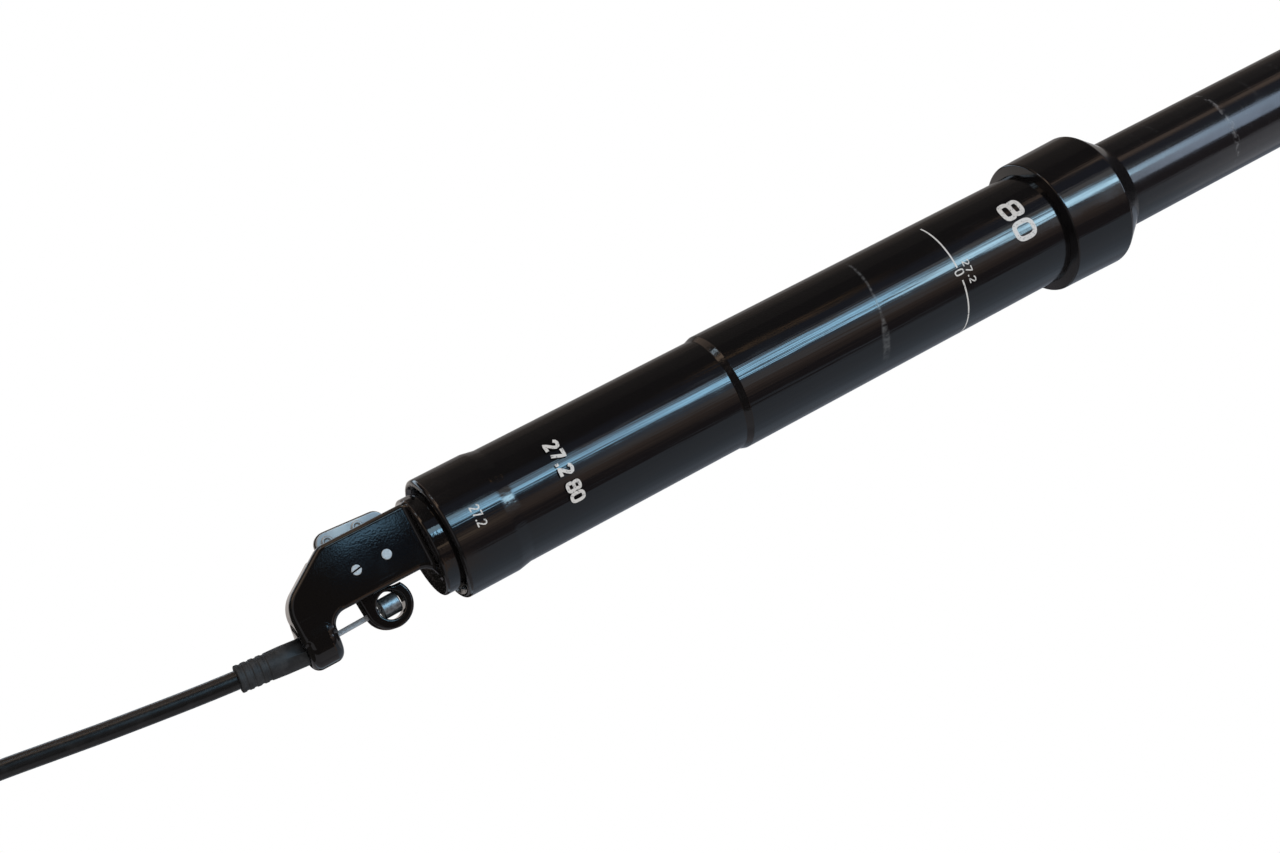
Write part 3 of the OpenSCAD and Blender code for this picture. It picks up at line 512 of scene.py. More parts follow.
def from_wire(x, y, z):
    """Distance from the wire's line."""
    dx, dz = x - head_at[0], z - head_at[2]
    return hypot(dx * wire_line[2] - dz * wire_line[0], y)


NEAR_EDGE, FAR_EDGE = 1.1, 6.0
FLANGE_R, PLUG_R, ROD_HOLE_R, ROD_HOLE_LOW, WIRE_HOLE_R = 11, 11.73, 4.05, -155.8, 0.95


def bracket_shape(x, y, z):
    from_axis = hypot(x, y)
    body = meet(meet(cheek(x, z), -y - CHEEK_Y, NEAR_EDGE), y - CHEEK_Y, FAR_EDGE)
    boss = meet(hypot(x - BOSS_X, y) - BOSS_R, slab(z, HOOK_LOW, HOOK_TOP), 2.0)
    body = join(body, boss, 0.6)
    body = minimum(body, meet(plate_edge(x, z, 0.25), slab(y, SLOT_FAR, CHEEK_Y), 0.5))
    slot = maximum(slab(y, SLOT_NEAR, SLOT_FAR), slab(z, HOOK_TOP + 1.6, FLANGE_LOW - 1))
    body = carve(body, slot, 0.35)
    flange = meet(from_axis - FLANGE_R, slab(z, FLANGE_LOW, PLUG_LOW + 0.5), 0.6)
    body = join(body, flange, 0.9)
    body = meet(body, from_axis - POST_R + 0.3, 0.3)
    body = minimum(body, meet(from_axis - PLUG_R, slab(z, PLUG_LOW, PLUG_TOP), 0.4))
    body = carve(body, maximum(from_wire(x, y, z) - WIRE_HOLE_R, z - HOOK_TOP - 2), 0.2)
    return carve(body, maximum(from_axis - ROD_HOLE_R, ROD_HOLE_LOW - z), 0.2)


fit(skin("cast_bracket", bracket_shape, (-14, -14, -195), (14, 14, -146.4), 0.2, cast_paint),
    "outer", "cast_black", "actuator_bracket")

# Guide plate and rivets: stamped steel with bright zinc, lying against the far cheek.
# Two rivets hold its back edge, which stands a little proud of the near cheek.
zinc = Finish("bright_zinc", Metallic=0.4)
spangle = zinc.noise(1.1, detail=4, rough=0.7)
tint = zinc.noise(5, detail=2)
rolled = zinc.noise(0.12, (1, 1, 14))
zinc.feed(Base_Color=zinc.mix(tint.ramp(0.3, 0.7), (0.34, 0.35, 0.36), (0.5, 0.5, 0.49)),
          Roughness=spangle * 0.24 + rolled * 0.16 + 0.2,
          Normal=zinc.bump(rolled * 0.6 + spangle * 0.4, 0.006))
PLATE_NEAR = 2.7


def plate_shape(x, y, z):
    return meet(plate_edge(x, z, 0), slab(y, PLATE_NEAR, SLOT_FAR - 0.02), 0.18)


fit(skin("steel_guide_plate", plate_shape, (-13, 2.3, -183), (4, 4.1, -164.5), 0.14, zinc),
    "outer", "zinc_steel", "guide_plate")
RIVET_X, RIVET_R, RIVET_HEAD_R, RIVET_FAR, RIVET_NEAR = -10.1, 0.625, 1.25, -5.2, -2.1
for k, level in enumerate((-178.5, -171.6), 1):
    rivet = turned(f"plate_rivet_{k}", rounded([
        (0, RIVET_FAR, 0), (RIVET_R, RIVET_FAR, 0.1), (RIVET_R, -PLATE_NEAR, 0),
        (RIVET_HEAD_R, -PLATE_NEAR, 0.05), (RIVET_HEAD_R, RIVET_NEAR - 0.2, 0.15), (1.05, RIVET_NEAR, 0.12),
        (0.75, RIVET_NEAR, 0.1), (0.5, RIVET_NEAR - 0.35, 0.1), (0, RIVET_NEAR - 0.35, 0)]), zinc,
        Matrix.Translation((RIVET_X, 0, level)) @ Matrix.Rotation(pi / 2, 4, "X"), 48)
    fit(rivet, "outer", "zinc_steel", "plate_rivets")


# Pivot pins: ground steel, pressed through both cheeks and flush with them.
# The two levers turn on them, and the lower one has a slotted end.
def around(middle, reach):
    """Two corners of a box from its middle and its reach to each side."""
    return np.subtract(middle, reach), np.add(middle, reach)


pin_steel = mottled("pin_steel", (0.3, 0.3, 0.3), (0.54, 0.53, 0.52), dict(size=0.25, detail=4, rough=0.75),
                    (0.3, 0, 0.3), 0.02, (0.3, 0.7), Metallic=0.5)
PIN_R, SLOT_TURN = 1.1, 0.17
for name, (pin_x, pin_z), slotted in (("low_pin", PIN_LOW, True), ("high_pin", PIN_HIGH, False)):
    def pin_shape(x, y, z):
        body = meet(hypot(x - pin_x, z - pin_z) - PIN_R, slab(y, -CHEEK_Y - 0.06, CHEEK_Y), 0.12)
        if not slotted:
            return body
        across_slot = (x - pin_x) * cos(SLOT_TURN) + (z - pin_z) * sin(SLOT_TURN)
        return carve(body, maximum(abs(across_slot) - 0.16, y + CHEEK_Y - 0.3), 0.06)

    pin = skin(name, pin_shape, *around((pin_x, 0, pin_z), (1.4, 6.2, 1.4)), 0.07, pin_steel)
    fit(pin, "outer", "zinc_steel", "pivot_pins")

# Cable lever: cast and painted like the bracket, turning on the low pin between the cheeks.
# Its ring holds the cable's head, a slot in the ring lets the wire out, and its nose moves the second lever.
RING_R, HUB_R, HOLE_R, LEVER_HALF, NOSE_LONG = 5.05, 2.3, 2.95, 2.4, 3.6
PUSH_CLEAR, WAY_OUT_AT, WAY_OUT_HALF = 6.19, radians(-77), radians(27)
ARM = (9.1, 3.3)
arm_turn = math.atan2(ARM[1], ARM[0])
arm_square = pi / 2 + math.asin((RING_R - HUB_R) / math.hypot(*ARM))
low_side, high_side = (np.array((cos(arm_turn + t), sin(arm_turn + t))) for t in (-arm_square, arm_square))
lever_arm = flat([PIN_LOW + HUB_R * low_side, RING_AT + RING_R * low_side,
                  RING_AT + RING_R * high_side, PIN_LOW + HUB_R * high_side])


def lever_shape(x, y, z):
    def from_point(point):
        return hypot(x - point[0], z - point[1])

    from_ring, from_low = from_point(RING_AT), from_point(PIN_LOW)
    outline = join(minimum(from_ring - RING_R, lever_arm(x, z)), from_low - HUB_R, 0.8)
    outline = maximum(outline, PUSH_CLEAR - from_point(PIN_HIGH))
    nose = hypot(x - PIN_LOW[0], z - np.clip(z, PIN_LOW[1], PIN_LOW[1] + NOSE_LONG)) - 1
    outline = minimum(outline, nose)
    outline = maximum(outline, PIN_R + 0.05 - from_low)
    body = meet(outline, abs(y) - LEVER_HALF, 0.55)
    body = carve(body, from_point((head_at[0], head_at[2])) - HOLE_R, 0.4)
    pocket = from_point((head_at[0] - 0.62, head_at[2] - 0.25)) - HOLE_R
    body = carve(body, maximum(pocket, abs(y) - LEVER_HALF + 0.45), 0.15)
    turn = np.arctan2(z - RING_AT[1], x - RING_AT[0])
    way_out = maximum(abs(turn - WAY_OUT_AT) - WAY_OUT_HALF, 0) * 3
    return carve(body, maximum(maximum(abs(y) - 0.9, way_out), 1 - from_ring), 0.12)


fit(skin("ring_lever", lever_shape, (-5, -3, -181), (12.5, 3, -168.5), 0.12, cast_paint),
    "ring_lever", "cast_black", "cable_lever")

# Cable head and inner wire: a plated barrel soldered on the end of the steel wire, held in the lever's ring.
# The wire is twelve thin strands laid round a core, and it runs down into the housing.
wire_up = Vector(-wire_line)
wire_side = wire_up.cross(Vector((0, 1, 0))).normalized()
on_wire = placed(Vector(head_at), wire_side, wire_up.cross(wire_side), wire_up)
head_zinc = mottled("head_zinc", (0.2, 0.225, 0.24), (0.4, 0.43, 0.44), dict(size=0.6, detail=4, rough=0.7),
                    (0.3, 0, 0.22), 0.02, (0.3, 0.7), Metallic=0.9)
BARREL_R, BARREL_HALF = 2.2, 2.05
fit(turned("cable_barrel", rounded([
    (0, -BARREL_HALF, 0), (BARREL_R - 0.25, -BARREL_HALF, 0.1), (BARREL_R, 0.25 - BARREL_HALF, 0.15),
    (BARREL_R, BARREL_HALF - 0.25, 0.15), (BARREL_R - 0.25, BARREL_HALF, 0.1), (0, BARREL_HALF, 0)]),
    head_zinc, on_wire, 64),
    "cable_core", "zinc_steel", "cable_head")
drawn_steel = mottled("drawn_wire", (0.3, 0.31, 0.32), (0.5, 0.51, 0.52),
                      dict(size=0.2, stretch=(1, 1, 12)), (0.2, 0, 0.34), 0.006, Metallic=0.5)
STRANDS, WIRE_R, WIRE_LAY = 12, 0.6, 9


def laid_strands(name, start, end):
    """Strands turned round a core from start to end, one turn for each lay."""
    start, end = Vector(start), Vector(end)
    line = (end - start).normalized()
    u = line.cross(Vector((0, 1, 0))).normalized()
    v = line.cross(u)
    thin = WIRE_R / (1 + 1 / sin(pi / STRANDS))
    off = WIRE_R - thin
    length = (end - start).length
    steps, sides = max(2, int(length / 0.35)), 8
    vertices, faces = [], []
    for strand in range(STRANDS + 1):
        apart, thick = (off, thin) if strand < STRANDS else (0, off)
        base = len(vertices)
        for i in range(steps + 1):
            turn = 2 * pi * (strand / STRANDS + length * i / steps / WIRE_LAY)
            centre = start + line * (length * i / steps) + apart * (u * cos(turn) + v * sin(turn))
            for k in range(sides):
                side = turn + 2 * pi * k / sides
                vertices.append((centre + thick * (u * cos(side) + v * sin(side))) * MM)
        for i in range(steps):
            for k in range(sides):
                a, b = base + i * sides + k, base + i * sides + (k + 1) % sides
                faces.append((a, b, b + sides, a + sides))
        faces += [range(base + sides - 1, base - 1, -1), range(len(vertices) - sides, len(vertices))]
    return add_piece(name, vertices, faces, drawn_steel)


fit(laid_strands("wire_strands", head_at + 2.0 * wire_line, wire_foot + 2.2 * wire_line),
    "cable_core", "wire_steel", "inner_wire")

# Boot: moulded rubber over the housing's ferrule, standing against the hook.
# Its lower end is ribbed so that it bends with the housing.
boot_rubber = mottled("boot_rubber_matt", (0.012, 0.0125, 0.0135), (0.03, 0.031, 0.033),
                      dict(size=3, detail=5, rough=0.65), (0.2, 0, 0.5), 0.02, (0.35, 0.75),
                      dict(size=0.35), IOR=1.45)
on_cord = Matrix.Translation((CABLE_X, 0, HOOK_LOW)) @ Matrix.Rotation(CORD_LEAN, 4, "Y")
BOOT_R, RIB_R, GROOVE_R, FERRULE_R, CORD_HOLE_R = 3.0, 2.9, 2.74, 2.52, 2.05
RIBS_TOP, RIB_STEP, BOOT_END, FERRULE_END = -7.6, 1.6, -14, -7.02
rib_corners = []
for k in range(4):
    rib = RIBS_TOP - RIB_STEP * k
    rib_corners += [(GROOVE_R, rib - 0.2, 0.2), (GROOVE_R, rib - 0.6, 0.2), (RIB_R, rib - 0.8, 0.25),
                    (RIB_R, rib - RIB_STEP, 0.25)]
rubber_boot = turned("rubber_boot", rounded(
    [(FERRULE_R, 0.3, 0), (BOOT_R, 0.3, 0.1), (BOOT_R, -4.6, 2), (RIB_R, RIBS_TOP, 0.3)] + rib_corners
    + [(CORD_HOLE_R, BOOT_END, 0.1), (CORD_HOLE_R, FERRULE_END, 0), (FERRULE_R, FERRULE_END, 0)]),
    boot_rubber, on_cord, 72)
for vertex in rubber_boot.data.vertices:
    vertex.co.z = min(vertex.co.z, (HOOK_LOW - 0.02) * MM)
fit(rubber_boot, "outer", "boot_rubber", "cable_boot")

# Cable housing: a black gloss jacket over steel and liner, from the hook down out of the picture.
# What the picture doesn't show is wound into a coil of four layers, held by a tie.
jacket = mottled("housing_jacket", (0.006, 0.006, 0.0063), (0.013, 0.013, 0.0135), dict(size=2.5, detail=4),
                 (0.12, 0.12, 0.16), 0.01, (0.45, 0.8), dict(size=0.3, stretch=(1, 1, 10)), IOR=1.45)
route = [(0, 0), (-0.4, -4.2), (-1.1, -12.6), (-2, -21.6), (-3.2, -31.6), (-4.5, -41.6), (-5.8, -50.6),
         (-7.1, -59.6), (-8.2, -68.6), (-9.1, -76.6), (-9.4, -82.6), (-9.4, -86.6)]
CORD_R, LAYER_TURNS, LAYERS, TURN_PITCH, COIL_R, COIL_STEPS = 2, 2.25, 4, 4.6, 27.2, 40
coil_mid = (CABLE_X + route[-1][0] - COIL_R, HOOK_LOW + route[-1][1] - 4)


def coil_point(turns):
    """Centre of the cable after that many turns: spirals in and out, and climbs a layer at each reversal."""
    layer = int(turns // LAYER_TURNS)
    part = turns - layer * LAYER_TURNS
    radius = COIL_R - TURN_PITCH * (part if layer % 2 == 0 else LAYER_TURNS - part)
    near = round(turns / LAYER_TURNS)
    climb = near - 0.5 + max(-0.5, min(0.5, 2 * (turns - near * LAYER_TURNS)))
    climb = 0 if near < 1 else LAYERS - 1 if near >= LAYERS else climb
    turn = 2 * pi * turns
    return (coil_mid[0] + radius * cos(turn), TURN_PITCH * climb, coil_mid[1] - radius * sin(turn))


cord_points = []
knots = [Vector(p) for p in (route[0], *route, route[-1])]
for p0, p1, p2, p3 in zip(knots, knots[1:], knots[2:], knots[3:]):
    for t in (0, 0.25, 0.5, 0.75):
        x, z = 0.5 * (2 * p1 + (p2 - p0) * t + (2 * p0 - 5 * p1 + 4 * p2 - p3) * t ** 2
                      + (3 * p1 - p0 - 3 * p2 + p3) * t ** 3)
        cord_points.append((CABLE_X + x, 0, HOOK_LOW + z))
cord_points.append((CABLE_X + route[-1][0], 0, HOOK_LOW + route[-1][1]))
cord_points += [coil_point(k / COIL_STEPS) for k in range(int(LAYERS * LAYER_TURNS * COIL_STEPS) + 1)]
FAR_END = (coil_mid[0] + COIL_R, (LAYERS - 1) * TURN_PITCH, coil_mid[1] - 10)
cord_points.append(FAR_END)
cord_line = bpy.data.curves.new("housing_cord", "CURVE")
cord_line.dimensions = "3D"
cord_line.bevel_depth = CORD_R * MM
cord_line.bevel_resolution = 5
cord_line.use_fill_caps = True
spline = cord_line.splines.new("POLY")
spline.points.add(len(cord_points) - 1)
for point, spot in zip(spline.points, cord_points):
    point.co = (*(Vector(spot) * MM), 1)
cord_line.materials.append(jacket.material)
housing_cord = put("housing_cord", cord_line)
fit(housing_cord, "outer", "housing_black", "cable_housing", "cable_coil")

# Tie round the coil: a moulded nylon strap that holds the turns of the spare housing together.
# Fine teeth stand across its lower face, for the lock that draws it tight.
strap = mottled("tie_nylon", (0.018, 0.018, 0.019), (0.035, 0.035, 0.036), dict(size=0.4), (0.2, 0, 0.4), 0.015,
                IOR=1.5)
TIE_AT, TIE_HALF_Y, TIE_HALF_Z = (coil_mid[0], 6.9, coil_mid[1] - 22.025), 9.5, 7.775
BAND_HALF, TOOTH_STEP = 4, 1.6


def tie_shape(x, y, z):
    x, y, z = x - TIE_AT[0], y - TIE_AT[1], z - TIE_AT[2]
    loop = meet(abs(y) - TIE_HALF_Y, abs(z) - TIE_HALF_Z, 0)
    band = meet(abs(loop - 0.6) - 0.58, abs(x) - BAND_HALF, 0.3)
    teeth = meet(abs(np.mod(y + 0.5, TOOTH_STEP) - TOOTH_STEP / 2) - 0.4,
                 maximum(abs(z + 9.1) - 0.25, abs(x) - 2.6), 0.1)
    return minimum(band, maximum(teeth, abs(y) - 8.6))


cable_tie = skin("cable_tie", tie_shape, *around(TIE_AT, (5, 12, 10)), 0.22, strap)
fit(cable_tie, "outer", "tie_black", "coil_tie")

# Far end: a turned aluminium ferrule with a nose closes the housing.
# The bare wire runs out of it to a crimped cap, where the remote lever would hold it.
turned_alloy = mottled("turned_alloy", (0.52, 0.53, 0.55), (0.68, 0.68, 0.69), dict(size=3), (0.16, 0.1, 0.2),
                       0.008, None, dict(size=0.12, stretch=(40, 40, 1), detail=2), Metallic=1.0)
END_R, NOSE_R, WIRE_BORE_R, TAIL_LONG = 2.5, 1.4, 0.65, 31
end_ferrule = turned("end_ferrule", rounded([
    (WIRE_BORE_R, -6, 0.05), (NOSE_R, -6, 0.3), (NOSE_R, -2, 0.1), (END_R, -2, 0.4), (END_R, 1.2, 0.2),
    (END_R - 0.2, 1.5, 0.15), (END_R - 0.2, 2.1, 0.15), (END_R, 2.4, 0.2), (END_R, 8, 0.3),
    (CORD_HOLE_R, 8, 0.1), (CORD_HOLE_R, 0, 0), (WIRE_BORE_R, 0, 0)]),
    turned_alloy, Matrix.Translation(FAR_END), 64)
fit(end_ferrule, "outer", "alloy", "far_ferrule")
tail_strands = laid_strands("tail_strands", Vector(FAR_END) - Vector((0, 0, 0.3)),
                            Vector(FAR_END) - Vector((0, 0, TAIL_LONG)))
fit(tail_strands, "cable_tail", "wire_steel", "wire_tail")
CAP_R, CAP_LOW, CAP_TOP, DENT, DENT_Z = 1.0, -32, -24, 0.22, -23.5


def crimp_shape(x, y, z):
    x, y, z = x - FAR_END[0], y - FAR_END[1], z - FAR_END[2]
    dents = DENT * np.exp(-((z - DENT_Z) / 0.6) ** 2) * abs(np.cos(np.arctan2(y, x) * 2))
    return meet(hypot(x, y) - CAP_R + dents, slab(z, CAP_LOW, CAP_TOP), 0.25)


cap_middle = (*FAR_END[:2], FAR_END[2] + (CAP_LOW + CAP_TOP) / 2)
crimped_cap = skin("crimped_cap", crimp_shape, *around(cap_middle, (1.3, 1.3, 4.6)), 0.08, turned_alloy)
fit(crimped_cap, "cable_tail", "alloy", "crimp_cap")

# Saddle head: an aluminium forging bonded on the stanchion's top, blasted and anodised black.
# A round seat lets the cradle rock, and two wings carry the clamp's bolts.
forged = mottled("forged_black", (0.011, 0.011, 0.0115), (0.019, 0.019, 0.02), dict(size=12, detail=4),
                 (0.12, 0.14, 0.26), 0.012, (0.4, 0.75), dict(size=0.35, rough=0.7), IOR=1.45)
HEAD_LOW, SEAT_LOW, TILT_Z, SEAT_R, SOCKET_R = 114, 138, 154, 16, 13.25
BOLT_X, BOLT_R, BOLT_TOP, WING_LOW, WING_HALF_X, HEAD_HALF_Y = 21.5, 2.5, 163, 133, 27.5, 11
gusset = flat([(-23.5, WING_LOW + 1), (-12.25, WING_LOW - 9), (12.25, WING_LOW - 9), (23.5, WING_LOW + 1)])


def from_bolts(x, off):
    """Distance from the nearer bolt's line, or its nut's where off is a height above that."""
    return hypot(abs(x) - BOLT_X, off)


def head_shape(x, y, z):
    from_axis, from_sides = hypot(x, y), abs(y) - HEAD_HALF_Y
    socket = meet(from_axis - SOCKET_R, slab(z, HEAD_LOW, SEAT_LOW), 1.2)
    wings = meet(meet(abs(x) - WING_HALF_X, from_sides, 4), slab(z, WING_LOW, SEAT_LOW + 1.5), 1.2)
    seat = meet(meet(abs(x) - 12, from_sides, 1), slab(z, SEAT_LOW, SEAT_LOW + 5.44), 0.6)
    body = join(wings, meet(gusset(x, z), from_sides, 1.2), 1.5)
    body = join(body, seat, 1.2)
    body = join(body, socket, 2.2)
    body = carve(body, hypot(x, z - TILT_Z) - SEAT_R - 0.05, 0.4)
    body = carve(body, maximum(from_axis - STANCHION_R - 0.02, z - STANCHION_TOP), 0.5)
    body = carve(body, maximum(from_bolts(x, y) - 5.85, z - WING_LOW), 0.4)
    return carve(body, from_bolts(x, y) - BOLT_R - 0.02, 0.2)


fit(skin("forged_head", head_shape, (-28.5, -14, 113), (28.5, 14, 145), 0.36, forged),
    "inner", "satin_black", "saddle_head")

# Saddle clamp: a lower cradle that rocks in the head's seat and an upper clamp, both forged and anodised black.
# Their grooves hold the saddle's rails, and the upper one's ears hold the barrel nuts.
RAIL_Y, RAIL_R, CLAMP_HALF_Y, SPLIT, EAR_R, EAR_HALF_Y = 22, 3.5, 27.5, 0.4, 7.2, 7.5


def rail_groove(y, z):
    return hypot(abs(y) - RAIL_Y, z - TILT_Z) - RAIL_R


def cradle_shape(x, y, z):
    drum = hypot(x, z - TILT_Z) - SEAT_R
    middle = meet(abs(y) - HEAD_HALF_Y, slab(z, SEAT_LOW - 1, TILT_Z - SPLIT), 0.5)
    arms = meet(abs(y) - CLAMP_HALF_Y, slab(z, TILT_Z - 8, TILT_Z - SPLIT), 1.2)
    body = meet(drum, join(middle, arms, 2), 0.8)
    body = carve(body, rail_groove(y, z), 0.4)
    body = carve(body, maximum(from_bolts(x, z - TILT_Z) - EAR_R - 0.3, abs(y) - EAR_HALF_Y - 0.3), 0.3)
    hollow = meet(meet(abs(x) - 8.8, abs(y) - 8, 1.5), slab(z, SEAT_LOW + 5, SEAT_LOW + 30), 1.5)
    return carve(body, hollow, 0.5)


fit(skin("forged_cradle", cradle_shape, (-17, -28.5, 137), (17, 28.5, 154.5), 0.36, forged),
    "saddle_clamp", "satin_black", "lower_cradle")
CLAMP_TOP, CROWN_R, POCKET_R = TILT_Z + 8.4, 30, 5.3


def clamp_shape(x, y, z):
    from_nuts, from_ears = from_bolts(x, z - TILT_Z), abs(y) - EAR_HALF_Y
    bar = meet(meet(abs(x) - SEAT_R, abs(y) - CLAMP_HALF_Y, 2.5), slab(z, TILT_Z + SPLIT, CLAMP_TOP), 1.2)
    bar = meet(bar, hypot(x, z - CLAMP_TOP + CROWN_R) - CROWN_R, 1.0)
    ears = meet(from_nuts - EAR_R, from_ears, 0.8)
    bridge = meet(meet(abs(x) - BOLT_X, from_ears, 0.8), slab(z, TILT_Z + SPLIT, TILT_Z + EAR_R), 0.6)
    body = join(join(ears, bridge, 0.8), bar, 1.5)
    body = carve(body, rail_groove(y, z), 0.4)
    open_top = maximum(abs(abs(x) - BOLT_X) - POCKET_R, TILT_Z - z)
    pocket = maximum(minimum(from_nuts - POCKET_R, open_top), abs(y) - 6.8)
    body = carve(body, pocket, 0.25)
    return carve(body, maximum(from_bolts(x, y) - 4.02, z - TILT_Z), 0.3)


fit(skin("forged_clamp", clamp_shape, (-30, -28.5, 145.5), (30, 28.5, 163.5), 0.36, forged),
    "saddle_clamp", "satin_black", "upper_clamp")

# Clamp bolts, washers and barrel nuts: plated steel cap screws that come up through the head's wings.
# Their threads run in the barrel nuts, which turn in the upper clamp's ears.
plated = Finish("plated_bolt", Metallic=1.0)
THREAD_HALF = 0.4
thread = plated.node("ShaderNodeMath", {"operation": "PINGPONG"}, {0: plated.z * 1000, 1: THREAD_HALF})
threaded = plated.z.ramp(0.1395, 0.14)
stain = plated.noise(2.5, detail=4)
plated.feed(Base_Color=plated.mix(stain, (0.4, 0.4, 0.42), (0.58, 0.58, 0.6)),
            Roughness=stain * 0.22 + 0.2, Normal=plated.bump(thread * threaded * 2.5, 0.25))
CAP_LOW_Z, CAP_TOP_Z, CAP_BOLT_R, KNURLS, HEX_HALF = 127, 132, 4.25, 30, 2.0


def bolt_shape(x, y, z):
    off = abs(x) - BOLT_X
    knurl = 0.1 * (np.cos(np.arctan2(y, off) * KNURLS) < 0)
    cap = meet(from_bolts(x, y) - CAP_BOLT_R + knurl, slab(z, CAP_LOW_Z, CAP_TOP_Z), 0.5)
    shank = meet(from_bolts(x, y) - BOLT_R, slab(z, CAP_TOP_Z - 1, BOLT_TOP), 0.4)
    hexagon = maximum(abs(y), abs(off) * 0.866 + abs(y) * 0.5) - HEX_HALF
    return carve(join(cap, shank, 0.2), maximum(hexagon, z - CAP_LOW_Z - 2.6), 0.15)


fit(skin("socket_bolts", bolt_shape, (-26.5, -5, 126), (26.5, 5, 164), 0.24, plated),
    "inner", "bolt_steel", "clamp_bolts")
WASHER_R, NUT_R, NUT_HALF = 5.05, 5, 6.5
ENDS = (("front", 1), ("rear", -1))
for end, side in ENDS:
    washer = turned(f"{end}_washer", rounded([
        (BOLT_R + 0.02, CAP_TOP_Z, 0.1), (WASHER_R, CAP_TOP_Z, 0.25), (WASHER_R, WING_LOW, 0.25),
        (BOLT_R + 0.02, WING_LOW, 0.1)]), plated, Matrix.Translation((side * BOLT_X, 0, 0)), 64)
    fit(washer, "inner", "bolt_steel", "bolt_washers")
for end, side in ENDS:
    def barrel_shape(x, y, z):
        solid = meet(hypot(x - side * BOLT_X, z - TILT_Z) - NUT_R, abs(y) - NUT_HALF, 0.5)
        return carve(solid, hypot(x - side * BOLT_X, y) - BOLT_R - 0.05, 0.3)

    barrel = skin(f"{end}_barrel", barrel_shape, *around((side * BOLT_X, 0, TILT_Z), (5.6, 7.1, 5.6)), 0.26,
                  turned_alloy)
    fit(barrel, f"{end}_nut", "bolt_steel", f"{end}_barrel_nut")

# Inner works: seals, bushings, brass keys and the gas cartridge, hidden inside the post.
# They keep their CAD shapes and get finishes of their own.
ground = mottled("ground_steel", (0.6, 0.61, 0.62), (0.74, 0.75, 0.76),
                 dict(size=0.1, stretch=(30, 30, 1), detail=2), (0.14, 0, 0.12), 0.003, Metallic=1.0)
bushing = mottled("bushing_plastic", (0.62, 0.6, 0.52), (0.74, 0.72, 0.64), dict(size=0.6, detail=4),
                  (0.2, 0, 0.35), 0.01, IOR=1.5)
brass = mottled("key_brass_cut", (0.5, 0.34, 0.13), (0.76, 0.58, 0.28), dict(size=2, detail=4),
                (0.25, 0, 0.18), 0.005, None, dict(size=0.15, stretch=(1, 1, 20)), Metallic=1.0)
KEPT = {
    rubber: ("collar_o_ring", "bump_stop"),
    bushing: ("upper_bushing", "lower_bushing"),
    brass: ("guide_keys",),
    turned_alloy: ("rod_nut", "piston", "housing_ferrule", "cartridge_tube", "cartridge_seal_head",
                   "cartridge_plug"),
    ground: ("piston_rod", "cartridge_snap_ring", "release_pin"),
    zinc: ("push_lever",)}
for finish, names in KEPT.items():
    for name in names:
        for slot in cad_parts[name].material_slots:
            slot.material = finish.material

# Studio: an even white surround, a tall cool window as the key and a pale floor under the post.
# Cards that only reflections see stand where the room was dark, warm or grey.
scene.view_settings.view_transform = "Standard"
world = bpy.data.worlds.new("white_surround")
scene.world = world
world.use_nodes = True
world.node_tree.nodes["Background"].inputs["Color"].default_value = (1, 1, 1, 1)
POST_MIDDLE = Vector((0, 0, -0.06))
WINDOW_FAR = 1.6


def towards(azimuth, elevation, distance):
    """Place seen from the post's middle: azimuth 0 is the viewer's side, plus is the hook's."""
    a, e = radians(azimuth), radians(elevation)
    return POST_MIDDLE + distance * Vector((sin(a) * cos(e), -cos(a) * cos(e), sin(e)))


def add_window(name, low, high, width, colour, power):
    """A light from one place to another that only reflections see."""
    light = bpy.data.lights.new(name, "AREA")
    light.shape, light.size, light.size_y = "RECTANGLE", width, (high - low).length
    light.color, light.energy = colour, power
    lamp = put(name, light)
    middle, upright = (low + high) / 2, (high - low).normalized()
    sideways = upright.cross((middle - POST_MIDDLE).normalized()).normalized()
    lamp.matrix_world = placed(middle, sideways, upright, sideways.cross(upright))
    lamp.visible_camera = lamp.visible_diffuse = False


def add_flag(name, colour, *corners):
    """A card that only reflections see."""
    tone = Finish(name, Base_Color=(0, 0, 0, 1), Roughness=1.0, IOR=1.0, Emission_Color=(*colour, 1),
                  Emission_Strength=1.0)
    card = add_piece(name, corners, [(0, 1, 2, 3)], tone)
    card.visible_camera = card.visible_diffuse = card.visible_shadow = card.visible_transmission = False


def add_wall(name, colour, start, end, low=6, high=62, distance=1.0, top=None):
    """A card between two azimuths and two elevations; top gives other azimuths to its upper corners."""
    first, last = top or (start, end)
    corners = (start, low), (end, low), (last, high), (first, high)
    add_flag(name, colour, *(towards(a, e, distance) for a, e in corners))


def level_corners(x, y, z):
    """Corners of a level rectangle about the post's line."""
    return [(-x, -y, z), (x, -y, z), (x, y, z), (-x, y, z)]


for name, low, high, *looks in (
        ("cool_window", (-16, 7), (-11.4, 29), 0.5, (0.33, 0.68, 1.0), 4.8),
        ("window_core", (-15, 7), (-11.4, 29), 0.2, (0.34, 0.72, 1.0), 3.5),
        ("window_top", (-10.6, 29.5), (-5, 37.5), 0.36, (0.4, 0.74, 1.0), 2.0),
        ("window_top_core", (-10, 29.5), (-4.6, 37.5), 0.15, (0.55, 0.84, 1.0), 1.3),
        ("window_head", (0, 38.5), (0, 48), 0.74, (0.6, 0.76, 1.0), 3.2),
        ("window_bar", (2, 12), (4, 36), 0.03, (0.72, 0.86, 1.0), 0.2)):
    add_window(name, towards(*low, WINDOW_FAR), towards(*high, WINDOW_FAR), *looks)
add_window("window_corner", Vector((-0.027, -0.8, -0.036)), Vector((-0.025, -0.8, 0.008)), 0.012,
           (0.36, 0.7, 1.0), 0.0055)
add_flag("window_sill", (0.025, 0.055, 0.1), (-0.04, -0.82, -0.04), (0.0, -0.82, -0.04), (0.008, -0.82, 0.015),
         (-0.04, -0.82, 0.015))
